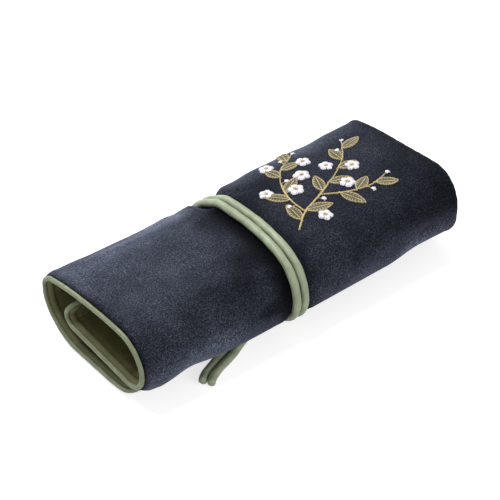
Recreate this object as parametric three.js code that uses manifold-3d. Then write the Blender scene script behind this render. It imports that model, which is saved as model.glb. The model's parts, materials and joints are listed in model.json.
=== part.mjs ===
// Rolled velvet jewellery pouch, closed and tied with its satin cord. Millimetres, +Z up.
// +X runs along the roll to its fuller end, +Y points to its folded back, and the origin lies under its
// middle. The pouch is one padded mat. Rolled up, it runs from its free flap edge under the front of the roll
// to the back, up and over the top, down round the front and back inside, above the flap, to its inner edge.
import * as THREE from 'three';
import { mergeVertices } from 'three/addons/utils/BufferGeometryUtils.js';
import Module from 'manifold-3d';

const wasm = await Module();
wasm.setup();
const degrees = THREE.MathUtils.degToRad;

// Outside of the roll
const rollLength = 230;
const rollWidth = 98; // front to back
const rollHeight = 50.5; // halfway along
const fullerEnd = 0.07; // the right end stands higher by this share, and the left end lower

// Layers of the mat, from the outside in
const velvetThickness = 1.2;
const waddingThickness = 3.4;
const liningThickness = 0.6;
const clothGap = 0.3; // between any two pieces that touch

// Bends of the rolled mat, on its outside face
const backRadius = 32;
const cornerRadius = 10; // where the back turns into the top
const topSlope = degrees(10); // of the top where it leaves the back corner
const crownForward = 9.5; // of the highest line, from the middle
const frontSlope = degrees(3.5); // of the top where it meets the front shoulder
const shoulderRadius = 23;
const middleSlope = degrees(6); // of the mat that lies inside, rising to the back
const innerRadius = 9.5;
const innerLean = degrees(120); // heading of the mat's inner end, 90 is straight up
const backRoom = 15; // between the inner bend and the lining of the back
const innerEndRoom = 5.5; // between the inner edge and the lining of the top
const rollGap = 1; // between the flap and what lies on it

// The flap, which ends under the front of the roll and lifts a little there
const flapInset = 14.5; // of its free edge, behind the front of the roll
const lipRadius = 60;
const lipTurn = degrees(20);

// Piping round the edge of the mat
const pipingDiameter = 3.6;

// The tie: a satin cord folded in half and sewn to the free edge of the flap by its fold
const tieDiameter = 5;
const tiePitch = 5.7; // between its two strands
const tieSlack = 0.5; // between the strands and the velvet
const tieBack = -5.5; // place along the roll where the strands pass round the back
const tieLean = 0.036; // how far they run to the left for each millimetre forward over the top
const tieBow = 4.3; // how far they bow to the right on that way
const tieSlant = 0.17; // how far they run to the left for each millimetre forward under the flap
const tieSweep = 17.5; // how much further left they are when they reach its free edge
const sweepRoom = 20.5; // behind the free edge, where they begin to turn that way
const sweepLast = 1.15; // share of this room up to which the cloth follows them
const topDip = 1.8; // how deep they press into the top
const sideDip = 1.4; // how deep they press into the front and the back
const cornerDip = 2.1; // how much deeper they press into the back corner, down and forward
const cornerDipFrom = 27; // place behind the middle where this begins
const cornerDipTo = 42; // and where it is full
const cornerDipLow = 0.6; // share of the height where it begins
const cornerDipHigh = 0.9;
const dipFlat = 6; // half the width of the pressed strip
const dipRamp = 13; // over which the cloth rises again on each side
const slantLevel = 0.3; // share of the height up to which the strands lie on the slant
const bowLevel = 0.8; // and from which they lie on the bow
const tabTop = 2.6; // of the tab that holds the fold of the tie
const tabSheet = 1.4; // its thickness
const tabSewn = 3; // how far it reaches under the flap

// Zip pocket on the lining under the top
const pocketRear = 35; // where its cloth is sewn to the lining behind
const pocketFront = -9; // where the front tape is sewn to the lining
const pocketHem = 4; // width of each sewn edge
const pocketRoom = 2.6; // between the lining and the pocket cloth
const pocketThickness = 0.6;
const zipLine = 4.5; // place of the zip, forward or back of the middle
const coilWidth = 1.6; // of one half
const coilThickness = 1.6;
const tapeWidth = 5.5;
const zipInset = 3.1; // of the coil's ends from the mat's ends
const stopLength = 3;
const stopWidth = 5.4;
const stopPlate = 0.8;
const stopInset = 4; // of each stop from the end of the coil
const sliderLength = 9;
const sliderWidth = 7.6;
const sliderPlate = 1.6;
const sliderInset = 14; // of the closed slider from the end of the coil
const lugWidth = 1.6;
const lugLength = 3.4;
const lugHeight = 3;
const pullLength = 11;
const pullWidth = 5;
const pullThickness = 1.1;
const pullPin = 1;
const pullEye = 2;
const armThickness = 1.1;
const pinPlay = 0.3;

// Slip pocket on the lining of the flap
const slipInset = 27.1; // of its ends from the mat's ends
const slipFirst = 2; // station of the flap where it starts
const slipLast = 7; // and where it ends

// Padded ring bolster along the lining of the back
const bolsterDiameter = 11;
const bolsterInset = 31.1; // of its ends from the mat's ends
const bolsterPlay = 2.3; // between it and the lining
const bolsterDrop = 22.5; // of its axis below the top of the roll, halfway along
const bolsterRound = 4;
const tabWidth = 9;
const tabThickness = 1;
const tabStraight = 2.5; // of a tab straight out of the bolster's end
const tabReach = 8; // from the bolster's end to where the tab lies on the lining
const tabPatch = 11; // length of a tab that lies on the lining
const tabRaise = 3; // of the tabs above the bolster's axis
const studDiameter = 7.5;
const studThickness = 1.5;
const capThickness = 1.2;

const velvet = new THREE.MeshStandardMaterial({ color: '#3f4350', roughness: 0.95, metalness: 0 });
const wadding = new THREE.MeshStandardMaterial({ color: '#e9e6dd', roughness: 1, metalness: 0 });
const satinLining = new THREE.MeshStandardMaterial({ color: '#6f7357', roughness: 0.5, metalness: 0 });
const satinPiping = new THREE.MeshStandardMaterial({ color: '#9aa589', roughness: 0.45, metalness: 0 });
const satinTie = new THREE.MeshStandardMaterial({ color: '#a3ac8d', roughness: 0.42, metalness: 0 });
const zipTape = new THREE.MeshStandardMaterial({ color: '#7d8264', roughness: 0.8, metalness: 0 });
const zipCoil = new THREE.MeshStandardMaterial({ color: '#8b8f70', roughness: 0.45, metalness: 0 });
const brass = new THREE.MeshStandardMaterial({ color: '#b99a5b', roughness: 0.3, metalness: 1 });

const pouch = new THREE.Group();
const halfLength = rollLength / 2;
const halfWidth = rollWidth / 2;
const clothHalf = halfLength - pipingDiameter - clothGap;
const waddingDepth = velvetThickness + clothGap;
const liningDepth = waddingDepth + waddingThickness + clothGap;
const matThickness = liningDepth + liningThickness;
const pipingDepth = pipingDiameter / 2 + clothGap; // of its middle

function add(name, geometry, material) {
  const mesh = new THREE.Mesh(geometry, material);
  mesh.name = name;
  pouch.add(mesh);
  return mesh;
}

// Path of the outside face, as stations. A station has a place in the section and a heading, and the mat
// turns left, so its layers lie to the left of the heading, at their depth below the face.
function arcRun(radius, turn, steps) {
  return { radius, turn, steps };
}

function straightRun(length, steps) {
  return { length, turn: 0, steps };
}

function walk(start, runs) {
  const stations = [{ ...start }];
  let { y, z, heading } = start;
  for (const run of runs) {
    for (let i = 0; i < run.steps; i++) {
      const turn = run.turn / run.steps;
      const chord = run.turn ? 2 * run.radius * Math.sin(turn / 2) : run.length / run.steps;
      y += chord * Math.cos(heading + turn / 2);
      z += chord * Math.sin(heading + turn / 2);
      heading += turn;
      stations.push({ y, z, heading });
    }
  }
  return stations;
}

function atDepth(station, depth) {
  return {
    y: station.y - depth * Math.sin(station.heading),
    z: station.z + depth * Math.cos(station.heading),
  };
}

function moved(station, distance) {
  return {
    y: station.y + distance * Math.cos(station.heading),
    z: station.z + distance * Math.sin(station.heading),
    heading: station.heading,
  };
}

const last = (list) => list[list.length - 1];

// Two neighbouring stretches of the mat part at a fold, so each is drawn back from its folded ends.
function drawnBack({ path, folds }, distance) {
  const kept = path.map((station) => ({ ...station }));
  if (folds.includes('start')) kept[0] = moved(path[0], distance);
  if (folds.includes('end')) kept[path.length - 1] = moved(last(path), -distance);
  return kept;
}

// Flap: lip, flat and the first half of the back bend
const lipRise = lipRadius * (1 - Math.cos(lipTurn));
const flapEdge = -halfWidth + flapInset;
const flapFlat = halfWidth - backRadius - flapEdge - lipRadius * Math.sin(lipTurn);
const backBend = degrees(90);
const flapPath = walk({ y: flapEdge, z: lipRise, heading: -lipTurn }, [
  arcRun(lipRadius, lipTurn, 3),
  straightRun(flapFlat, 4),
  arcRun(backRadius, backBend / 2, 4),
]);

// Back wall: the second half of the back bend, the rise and the first half of the top corner
const cornerBend = backBend - topSlope;
const cornerEnd = halfWidth - cornerRadius * (1 - Math.sin(topSlope));
const topRadius = (cornerEnd + crownForward) / Math.sin(topSlope);
const cornerTop = rollHeight - topRadius * (1 - Math.cos(topSlope));
const backRise = cornerTop - cornerRadius * Math.cos(topSlope) - backRadius;
const wallPath = walk(last(flapPath), [
  arcRun(backRadius, backBend / 2, 4),
  straightRun(backRise, 1),
  arcRun(cornerRadius, cornerBend / 2, 3),
]);

// Core: the top, round the front and back inside above the flap to the inner edge
const shoulderStart = -halfWidth + shoulderRadius * (1 - Math.sin(frontSlope));
const slopeRadius = (-crownForward - shoulderStart) / Math.sin(frontSlope);
const shoulderLow =
  rollHeight - slopeRadius * (1 - Math.cos(frontSlope)) - shoulderRadius * Math.cos(frontSlope);
const frontLow = lipRise + matThickness + rollGap;
const frontRadius = (shoulderLow - frontLow) / Math.cos(middleSlope);
const frontEnd = -halfWidth + frontRadius * (1 + Math.sin(middleSlope));
const innerStart =
  halfWidth - matThickness - backRoom - innerRadius * (1 - Math.sin(middleSlope));
const middleRun = (innerStart - frontEnd) / Math.cos(middleSlope);
const innerLow = frontLow + middleRun * Math.sin(middleSlope);
const innerTurnTop = innerLow + innerRadius * (Math.cos(middleSlope) - Math.cos(innerLean));
const innerRise = (cornerTop - matThickness - innerEndRoom - innerTurnTop) / Math.sin(innerLean);
const corePath = walk(last(wallPath), [
  arcRun(cornerRadius, cornerBend / 2, 3),
  arcRun(topRadius, topSlope, 4),
  arcRun(slopeRadius, frontSlope, 1),
  arcRun(shoulderRadius, degrees(90) - frontSlope, 7),
  arcRun(frontRadius, degrees(90) + middleSlope, 7),
  straightRun(middleRun, 3),
  arcRun(innerRadius, innerLean - middleSlope, 7),
  straightRun(innerRise, 1),
]);

// The cord presses the roll: it lifts the flap that lies on it, and dips the top, the front and the back.
function tieOver(y) {
  const bow = tieBow * Math.cos((Math.PI / 2) * THREE.MathUtils.clamp(y / halfWidth, -1, 1));
  return tieBack - (halfWidth - y) * tieLean + bow;
}

function swept(y) {
  return THREE.MathUtils.clamp((flapEdge + sweepRoom - y) / sweepRoom, 0, sweepLast);
}

function tieUnder(y) {
  return tieBack - (halfWidth - y) * tieSlant - tieSweep * swept(y) ** 2;
}

// Cosine of the angle between the strands and the way forward under the flap
function underSquare(y) {
  return Math.cos(Math.atan(tieSlant + (2 * tieSweep * swept(y)) / sweepRoom));
}

function dip(distance) {
  return 1 - THREE.MathUtils.smoothstep(Math.abs(distance), dipFlat, dipFlat + dipRamp);
}

function fuller(x, z) {
  return z * (1 + (fullerEnd * x) / halfLength);
}

function pressed(x, y, z) {
  const height = fuller(x, rollHeight);
  const raised = fuller(x, z);
  const level = raised / height;
  const over = dip(x - tieOver(y));
  const under = dip((x - tieUnder(y)) * underSquare(y));
  const lift = (tieDiameter + tieSlack) * under * (1 - level);
  const behind = THREE.MathUtils.smoothstep(y, cornerDipFrom, cornerDipTo);
  const corner = cornerDip * over * behind * THREE.MathUtils.smoothstep(level, cornerDipLow, cornerDipHigh);
  const inward = y * (1 - (sideDip / halfWidth) * over) - corner;
  return new THREE.Vector3(x, inward, raised + lift - topDip * over * level - corner);
}

// Closed slab between two faces of a grid: point(row, column, face) gives its places, rows follow the
// heading, columns run to the right, and face 0 is the outside.
function slab(rows, columns, point) {
  const places = [];
  for (let face = 0; face < 2; face++) {
    for (let i = 0; i < rows; i++) {
      for (let j = 0; j < columns; j++) places.push(...point(i, j, face).toArray());
    }
  }
  const at = (i, j, face) => (face * rows + i) * columns + j;
  const index = [];
  const quad = (a, b, c, d) => index.push(a, b, c, a, c, d);
  for (let i = 0; i + 1 < rows; i++) {
    for (let j = 0; j + 1 < columns; j++) {
      quad(at(i, j, 0), at(i + 1, j, 0), at(i + 1, j + 1, 0), at(i, j + 1, 0));
      quad(at(i, j, 1), at(i, j + 1, 1), at(i + 1, j + 1, 1), at(i + 1, j, 1));
    }
    quad(at(i, 0, 0), at(i, 0, 1), at(i + 1, 0, 1), at(i + 1, 0, 0));
    quad(at(i, columns - 1, 0), at(i + 1, columns - 1, 0), at(i + 1, columns - 1, 1), at(i, columns - 1, 1));
  }
  for (let j = 0; j + 1 < columns; j++) {
    quad(at(0, j, 0), at(0, j + 1, 0), at(0, j + 1, 1), at(0, j, 1));
    quad(at(rows - 1, j, 0), at(rows - 1, j, 1), at(rows - 1, j + 1, 1), at(rows - 1, j + 1, 0));
  }
  const geometry = new THREE.BufferGeometry();
  geometry.setAttribute('position', new THREE.Float32BufferAttribute(places, 3));
  geometry.setIndex(index);
  return geometry;
}

// Columns of a layer, from left to right: they crowd where the cord presses, and follow it.
function columnsTo(half, centre) {
  const edge = dipFlat + dipRamp;
  const near = [dipFlat, dipFlat + dipRamp / 2, edge];
  const pressedStrip = [...near.map((x) => -x).reverse(), ...near].map((x) => centre + x);
  const left = centre - edge;
  const right = centre + edge;
  return [-half, (left - half) / 2, ...pressedStrip, (right + half) / 2, half];
}

function bowed(z) {
  return THREE.MathUtils.smoothstep(z / rollHeight, slantLevel, bowLevel);
}

function tieCentre({ y, z }) {
  return THREE.MathUtils.lerp(tieUnder(y), tieOver(y), bowed(z));
}

function layer(path, outside, inside, half) {
  const columns = path.map((station) => columnsTo(half, tieCentre(station)));
  return slab(path.length, columns[0].length, (i, j, face) => {
    const place = atDepth(path[i], face ? inside : outside);
    return pressed(columns[i][j], place.y, place.z);
  });
}

// The mat, in three stretches that part at the two folds of the back
const stretches = [
  { name: 'flap', path: flapPath, folds: ['end'] },
  { name: 'wall', path: wallPath, folds: ['start', 'end'] },
  { name: 'core', path: corePath, folds: ['start'] },
];
for (const stretch of stretches) {
  const { name } = stretch;
  const path = drawnBack(stretch, clothGap / 2);
  const cloth = (outside, thickness) => layer(path, outside, outside + thickness, clothHalf);
  add(`velvet_${name}`, cloth(0, velvetThickness), velvet);
  add(`wadding_${name}`, cloth(waddingDepth, waddingThickness), wadding);
  add(`lining_${name}`, cloth(liningDepth, liningThickness), satinLining);
}

// A round cord swept along a route
const cordSides = 8;
function cord(route, diameter, steps) {
  const circle = new THREE.Shape();
  for (let k = 0; k < cordSides; k++) {
    const angle = (2 * Math.PI * k) / cordSides;
    const place = [(diameter / 2) * Math.cos(angle), (diameter / 2) * Math.sin(angle)];
    if (k === 0) circle.moveTo(...place);
    else circle.lineTo(...place);
  }
  circle.closePath();
  return new THREE.ExtrudeGeometry(circle, {
    steps,
    extrudePath: new THREE.CatmullRomCurve3(route, false, 'centripetal'),
    bevelEnabled: false,
  });
}

// Piping along the two ends of each stretch, and along the free edge and the inner edge
for (const stretch of stretches) {
  const { name } = stretch;
  const path = drawnBack(stretch, clothGap);
  const reach = halfLength - pipingDiameter / 2;
  for (const [side, x] of [['left', -reach], ['right', reach]]) {
    const route = path.map((station) => {
      const place = atDepth(station, pipingDepth);
      return pressed(x, place.y, place.z);
    });
    add(`piping_${side}_${name}`, cord(route, pipingDiameter, 2 * path.length), satinPiping);
  }
}

function edgePiping(station, distance) {
  const place = atDepth(moved(station, distance), pipingDepth);
  const corners = columnsTo(clothHalf, tieCentre(station)).map((x) => pressed(x, place.y, place.z));
  const halfway = (j) => corners[j - 1].clone().lerp(corners[j], 0.5);
  const route = corners.flatMap((corner, j) => (j ? [halfway(j), corner] : [corner]));
  return cord(route, pipingDiameter, 2 * route.length);
}

const edgeReach = pipingDiameter / 2 + clothGap;
add('piping_flap_edge', edgePiping(flapPath[0], -edgeReach), satinPiping);
add('piping_inner_edge', edgePiping(last(corePath), edgeReach), satinPiping);

// The tie. Each strand starts at the tab on the free edge, goes up the front, over the top, down the back,
// slantwise under the flap, and out in front of the roll to its free end.
const strandReach = tieDiameter / 2 + tieSlack;
const tieFront = tieOver(-halfWidth); // place along the roll where they start
const tieStart = flapEdge - 2 * edgeReach - strandReach; // in front of the piping of the free edge

function strandPlace(station, x) {
  const out = atDepth(station, -strandReach);
  const lifted = pressed(x, station.y, station.z);
  return lifted.add(new THREE.Vector3(0, out.y - station.y, out.z - station.z));
}

function strandRoute(side, tail) {
  const front = corePath.filter(({ y, z }) => y < shoulderStart && z > frontLow + tieDiameter);
  const top = corePath.slice(1).filter(({ heading }) => heading < degrees(180) + frontSlope);
  const round = [...flapPath.slice(1), ...wallPath.slice(1), ...top].reverse();
  const x = tieFront + (side * tiePitch) / 2;
  const aside = ({ y, z }) => tiePitch / THREE.MathUtils.lerp(underSquare(y), 1, bowed(z));
  return [
    new THREE.Vector3(x, tieStart, tabTop + clothGap),
    new THREE.Vector3(x, tieStart, tabTop + clothGap + tieDiameter),
    ...front.reverse().map((station) => strandPlace(station, tieOver(station.y) + (side * tiePitch) / 2)),
    ...round.map((station) => strandPlace(station, tieCentre(station) + (side * aside(station)) / 2)),
    ...tail.map(([x, y, z]) => new THREE.Vector3(x, y, z)),
  ];
}

// Free ends of the strands, from under the flap's edge to their tips on the table
const leftTail = [
  [-48.5, -35.4, 3.2],
  [-61.5, -40.3, 2.6],
  [-70.5, -44.2, 2.6],
  [-76.5, -49, 2.6],
];
const rightTail = [
  [-46, -41, 2.8],
  [-60.5, -46.4, 2.6],
  [-73, -54.4, 2.6],
];
const tieSteps = 78;
add('tie_left_strand', cord(strandRoute(-1, leftTail), tieDiameter, tieSteps), satinTie);
add('tie_right_strand', cord(strandRoute(1, rightTail), tieDiameter, tieSteps), satinTie);

// Solids for the small pieces
function solid(geometry) {
  const bare = geometry.clone();
  bare.deleteAttribute('normal');
  bare.deleteAttribute('uv');
  const merged = mergeVertices(bare, 1e-4);
  return new wasm.Manifold(
    new wasm.Mesh({
      numProp: 3,
      vertProperties: Float32Array.from(merged.attributes.position.array),
      triVerts: Uint32Array.from(merged.index.array),
    }),
  );
}

function geometryOf(body) {
  const mesh = body.getMesh();
  const geometry = new THREE.BufferGeometry();
  geometry.setAttribute('position', new THREE.Float32BufferAttribute(mesh.vertProperties, 3));
  geometry.setIndex(Array.from(mesh.triVerts));
  return geometry;
}

function box(from, to) {
  const size = to.map((value, axis) => value - from[axis]);
  const geometry = new THREE.BoxGeometry(...size);
  return geometry.translate(...from.map((value, axis) => value + size[axis] / 2));
}

function disc(diameter, thickness, sides) {
  return new THREE.CylinderGeometry(diameter / 2, diameter / 2, thickness, sides);
}

// Sewn tab under the free edge of the flap, which holds the fold of the tie
const tabHalf = (tiePitch + tieDiameter) / 2;
const tabFrom = [tieFront - tabHalf, tieStart - tieDiameter / 2, tabTop - tabSheet];
const tabTo = [tieFront + tabHalf, flapEdge + tabSewn, tabTop];
add('tie_tab', box(tabFrom, tabTo), satinTie);

// Slip pocket: a cloth panel on the lining of the flap, between its lip and the back bend
const slipHalf = clothHalf - slipInset;
const slipPath = flapPath.slice(slipFirst, slipLast + 1);
const slipDepth = matThickness + clothGap;
add('slip_pocket', layer(slipPath, slipDepth, slipDepth + pocketThickness, slipHalf), satinLining);

// Zip pocket under the top. Its cloth hangs straight, a little below the lining, and is sewn to it behind
// and in front, where it follows the pressed lining.
function topStation(y) {
  const forward = Math.asin((y + crownForward) / topRadius);
  return { y, z: rollHeight - topRadius * (1 - Math.cos(forward)), heading: Math.PI - forward };
}

function pocketPiece(rows, thickness, half) {
  const stations = rows.map(({ y }) => topStation(y));
  const columns = stations.map((station) => columnsTo(half, tieCentre(station)));
  return slab(rows.length, columns[0].length, (i, j, face) => {
    const { y, z } = atDepth(stations[i], rows[i].depth + (face ? thickness : 0));
    const x = columns[i][j];
    const straight = new THREE.Vector3(x, y, fuller(x, z));
    return rows[i].sewn ? pressed(x, y, z) : straight;
  });
}

const sewnDepth = matThickness + clothGap;
const pocketDepth = matThickness + pocketRoom;
const coilRear = clothGap / 2;
const tapeRear = coilRear + coilWidth + clothGap; // from the zip line, and as far in front of it
const clothFront = zipLine + tapeRear + tapeWidth + clothGap;
const hang = (y) => ({ y, depth: pocketDepth, sewn: false });
const sew = (y) => ({ y, depth: sewnDepth, sewn: true });
const hangFrom = pocketRear - 2 * pocketHem;
const pocketCloth = [sew(pocketRear), sew(pocketRear - pocketHem), hang(hangFrom), hang(clothFront)];
const rearTape = [hang(zipLine + tapeRear + tapeWidth), hang(zipLine + tapeRear)];
const frontTape = [
  hang(zipLine - tapeRear),
  hang(zipLine - tapeRear - tapeWidth),
  sew(pocketFront + pocketHem),
  sew(pocketFront),
];
add('pocket_cloth', pocketPiece(pocketCloth, pocketThickness, clothHalf), satinLining);
add('zip_tape_rear', pocketPiece(rearTape, pocketThickness, clothHalf), zipTape);
add('zip_tape_front', pocketPiece(frontTape, pocketThickness, clothHalf), zipTape);

const zipEnd = clothHalf - zipInset; // half the length of the coil
const coilDepth = pocketDepth + (pocketThickness - coilThickness) / 2;
function coilHalf(from, to) {
  const row = (y) => ({ y: zipLine + y, depth: coilDepth, sewn: false });
  return pocketPiece([row(from), row(to)], coilThickness, zipEnd);
}
add('zip_coil_rear', coilHalf(coilRear + coilWidth, coilRear), zipCoil);
add('zip_coil_front', coilHalf(-coilRear, -coilRear - coilWidth), zipCoil);

// What sits on the coil is made with the middle of the coil's under face as its origin, and turned with it.
function onCoil(name, x, geometry, material) {
  const station = topStation(zipLine);
  const { y, z } = atDepth(station, coilDepth + coilThickness);
  const mesh = add(name, geometry, material);
  mesh.position.set(x, y, fuller(x, z));
  mesh.rotation.set(station.heading - Math.PI, -Math.atan((fullerEnd * z) / halfLength), 0, 'YXZ');
  return mesh;
}

// Clip round the under side of the coil: a plate with two low flanges beside the coil
function clip(length, width, plate) {
  const half = length / 2;
  const flange = coilRear + coilWidth + clothGap;
  const rise = (coilThickness - pocketThickness) / 2 - clothGap;
  let body = solid(box([-half, -width / 2, -clothGap - plate], [half, width / 2, -clothGap]));
  for (const side of [-1, 1]) {
    const [near, far] = [side * flange, (side * width) / 2].sort((a, b) => a - b);
    body = body.add(solid(box([-half, near, -clothGap - plate], [half, far, rise])));
  }
  return body;
}

const stopPlace = zipEnd - stopInset;
const sliderRest = zipEnd - sliderInset;
onCoil('zip_top_stop', stopPlace, geometryOf(clip(stopLength, stopWidth, stopPlate)), brass);
onCoil('zip_bottom_stop', -stopPlace, geometryOf(clip(stopLength, stopWidth, stopPlate)), brass);

// Slider with its lug, and the pull that hangs from it on a pin
const plateLow = -clothGap - sliderPlate;
const pinLow = plateLow - lugHeight / 2 - pinPlay;
const lugFrom = [-lugLength / 2, -lugWidth / 2, plateLow - lugHeight];
const lugTo = [lugLength / 2, lugWidth / 2, plateLow + sliderPlate / 2];
const lugHole = solid(disc(pullPin + 2 * pinPlay, 2 * lugWidth, 16).translate(0, 0, pinLow));
const lug = solid(box(lugFrom, lugTo)).subtract(lugHole);
const sliderBody = clip(sliderLength, sliderWidth, sliderPlate).add(lug);
onCoil('zip_slider', sliderRest, geometryOf(sliderBody), brass);

const armIn = lugWidth / 2 + pinPlay;
const armOut = armIn + armThickness;
const lugCorner = Math.hypot(lugLength / 2, plateLow - lugHeight - pinLow);
const pullTop = -lugCorner - pinPlay;
const plate = new THREE.Shape();
plate.moveTo(-pullWidth / 2, pullTop);
plate.lineTo(-pullWidth / 2, pullWidth / 2 - pullLength);
plate.absarc(0, pullWidth / 2 - pullLength, pullWidth / 2, Math.PI, 2 * Math.PI, false);
plate.lineTo(pullWidth / 2, pullTop);
plate.closePath();
const pullHole = new THREE.Path();
pullHole.absarc(0, pullWidth / 2 - pullLength, pullEye / 2, 0, 2 * Math.PI, true);
plate.holes.push(pullHole);
const sheet = { depth: pullThickness, bevelEnabled: false, curveSegments: 8 };
const pullPlate = new THREE.ExtrudeGeometry(plate, sheet);
pullPlate.translate(0, 0, -pullThickness / 2).rotateX(Math.PI / 2).rotateZ(Math.PI / 2);
let pull = solid(pullPlate).add(solid(disc(pullPin, 2 * armOut, 12)));
for (const side of [-1, 1]) {
  const [near, far] = [side * armIn, side * armOut].sort((a, b) => a - b);
  const armLow = pullTop - pullThickness / 2;
  const arm = box([-pullThickness / 2, near, armLow], [pullThickness / 2, far, pullPin / 2 + pinPlay]);
  pull = pull.add(solid(arm));
}
onCoil('zip_pull', sliderRest, geometryOf(pull.translate([0, 0, pinLow])), brass);

// Ring bolster along the lining of the back, sewn on at its right end and snapped on at its left end
const liningRadius = backRadius - matThickness;
const bendCentre = halfWidth - backRadius;
const bolsterHalf = clothHalf - bolsterInset;
const bolsterHeight = rollHeight - bolsterDrop;
const bolsterReach = liningRadius - bolsterPlay - bolsterDiameter / 2;
const bolsterBack = bendCentre + Math.sqrt(bolsterReach ** 2 - (backRadius - bolsterHeight) ** 2);
const bolsterRadius = bolsterDiameter / 2;
const bolsterProfile = [
  [0, -bolsterHalf],
  [bolsterRadius - bolsterRound / 2, -bolsterHalf + bolsterRound / 4],
  [bolsterRadius, -bolsterHalf + bolsterRound],
  [bolsterRadius, bolsterHalf - bolsterRound],
  [bolsterRadius - bolsterRound / 2, bolsterHalf - bolsterRound / 4],
  [0, bolsterHalf],
].map((place) => new THREE.Vector2(...place));
const bolster = add('ring_bolster', new THREE.LatheGeometry(bolsterProfile, 16), satinPiping);
bolster.position.set(0, bolsterBack, bolsterHeight);
bolster.rotation.set(0, -Math.atan((fullerEnd * bolsterHeight) / halfLength), -Math.PI / 2, 'YXZ');

// Place of the back's lining face at a height, at a place along the roll
function liningBack(x, z) {
  const below = Math.min(0, z / fuller(x, 1) - backRadius);
  return bendCentre + Math.sqrt(liningRadius ** 2 - below ** 2);
}

// Flat ribbon on edge: points run in plan, and its width stands up
function ribbon(points, thickness, width) {
  const edge = (side) =>
    points.map(([x, y], i) => {
      const [fromX, fromY] = points[Math.max(i - 1, 0)];
      const [toX, toY] = points[Math.min(i + 1, points.length - 1)];
      const length = Math.hypot(toX - fromX, toY - fromY);
      const reach = (side * thickness) / 2 / length;
      return new THREE.Vector2(x - (toY - fromY) * reach, y + (toX - fromX) * reach);
    });
  const outline = new THREE.Shape([...edge(1), ...edge(-1).reverse()]);
  return new THREE.ExtrudeGeometry(outline, { depth: width, bevelEnabled: false });
}

function bolsterTab(name, side, stand) {
  const start = bolsterHalf + clothGap;
  const patchStart = start + tabReach;
  const patchEnd = patchStart + tabPatch;
  const middle = fuller(side * patchStart, bolsterHeight + tabRaise);
  const back = liningBack(side * patchEnd, middle - tabWidth / 2) - clothGap - stand - tabThickness / 2;
  const points = [
    [start, bolsterBack],
    [start + tabStraight, bolsterBack],
    [patchStart, back],
    [patchEnd, back],
  ].map(([x, y]) => [side * x, y]);
  const mesh = add(name, ribbon(points, tabThickness, tabWidth), satinPiping);
  mesh.position.z = middle - tabWidth / 2;
  return { x: side * (patchStart + patchEnd) / 2, back, z: middle };
}

bolsterTab('bolster_sewn_tab', 1, 0);
const snap = bolsterTab('bolster_snap_tab', -1, studThickness + clothGap);
const stud = (name, y, thickness) =>
  add(name, disc(studDiameter, thickness, 20).translate(snap.x, y, snap.z), brass);
stud('snap_stud', snap.back + tabThickness / 2 + clothGap + studThickness / 2, studThickness);
stud('snap_cap', snap.back - tabThickness / 2 - clothGap - capThickness / 2, capThickness);

export default pouch;
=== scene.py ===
"""Looks of the rolled velvet jewellery pouch: padded velvet mat, satin piping and lining, doubled satin tie,
zip pocket, slip pocket and ring bolster. Sizes are in millimetres and become metres when a mesh is made.
+X runs along the roll to its fuller end, +Y points to its folded back."""
import json
import math

import bmesh
import bpy
import numpy as np
from mathutils import Matrix, Vector


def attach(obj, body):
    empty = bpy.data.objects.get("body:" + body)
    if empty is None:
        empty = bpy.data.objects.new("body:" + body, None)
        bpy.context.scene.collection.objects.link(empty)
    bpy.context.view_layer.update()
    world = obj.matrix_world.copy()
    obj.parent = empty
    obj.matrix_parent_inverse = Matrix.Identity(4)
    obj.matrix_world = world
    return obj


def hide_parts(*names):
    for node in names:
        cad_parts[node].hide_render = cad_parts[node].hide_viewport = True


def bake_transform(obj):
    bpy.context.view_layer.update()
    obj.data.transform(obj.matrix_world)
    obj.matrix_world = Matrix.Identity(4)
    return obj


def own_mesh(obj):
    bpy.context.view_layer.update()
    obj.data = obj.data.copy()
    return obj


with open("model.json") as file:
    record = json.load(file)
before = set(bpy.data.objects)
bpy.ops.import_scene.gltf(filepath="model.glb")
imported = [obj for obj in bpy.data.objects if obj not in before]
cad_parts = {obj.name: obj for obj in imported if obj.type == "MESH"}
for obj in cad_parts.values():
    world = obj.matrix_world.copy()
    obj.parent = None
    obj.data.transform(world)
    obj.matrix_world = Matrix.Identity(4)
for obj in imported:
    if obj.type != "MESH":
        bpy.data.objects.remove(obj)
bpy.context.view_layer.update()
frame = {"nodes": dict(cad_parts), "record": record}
MM = 0.001

# Outside of the roll
ROLL_LENGTH = 230
ROLL_WIDTH = 98
ROLL_HEIGHT = 50.5
FULLER_END = 0.07

# Layers of the mat, from the outside in, as depths below its outside face
VELVET = 1.2
LAYER_GAP = 0.3
WADDING_DEPTH = VELVET + LAYER_GAP
LINING_DEPTH = 5.2
MAT = 5.8

# Bends of the rolled mat
BACK_RADIUS = 32
CORNER_RADIUS = 10
TOP_SLOPE = math.radians(10)
CROWN_FORWARD = 9.5
FRONT_SLOPE = math.radians(3.5)
SHOULDER_RADIUS = 23
MIDDLE_SLOPE = math.radians(6)
INNER_RADIUS = 9.5
INNER_LEAN = math.radians(120)
BACK_ROOM = 15
INNER_END_ROOM = 5.5
ROLL_GAP = 1
FLAP_INSET = 14.5
LIP_RADIUS = 60
LIP_TURN = math.radians(20)

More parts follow.
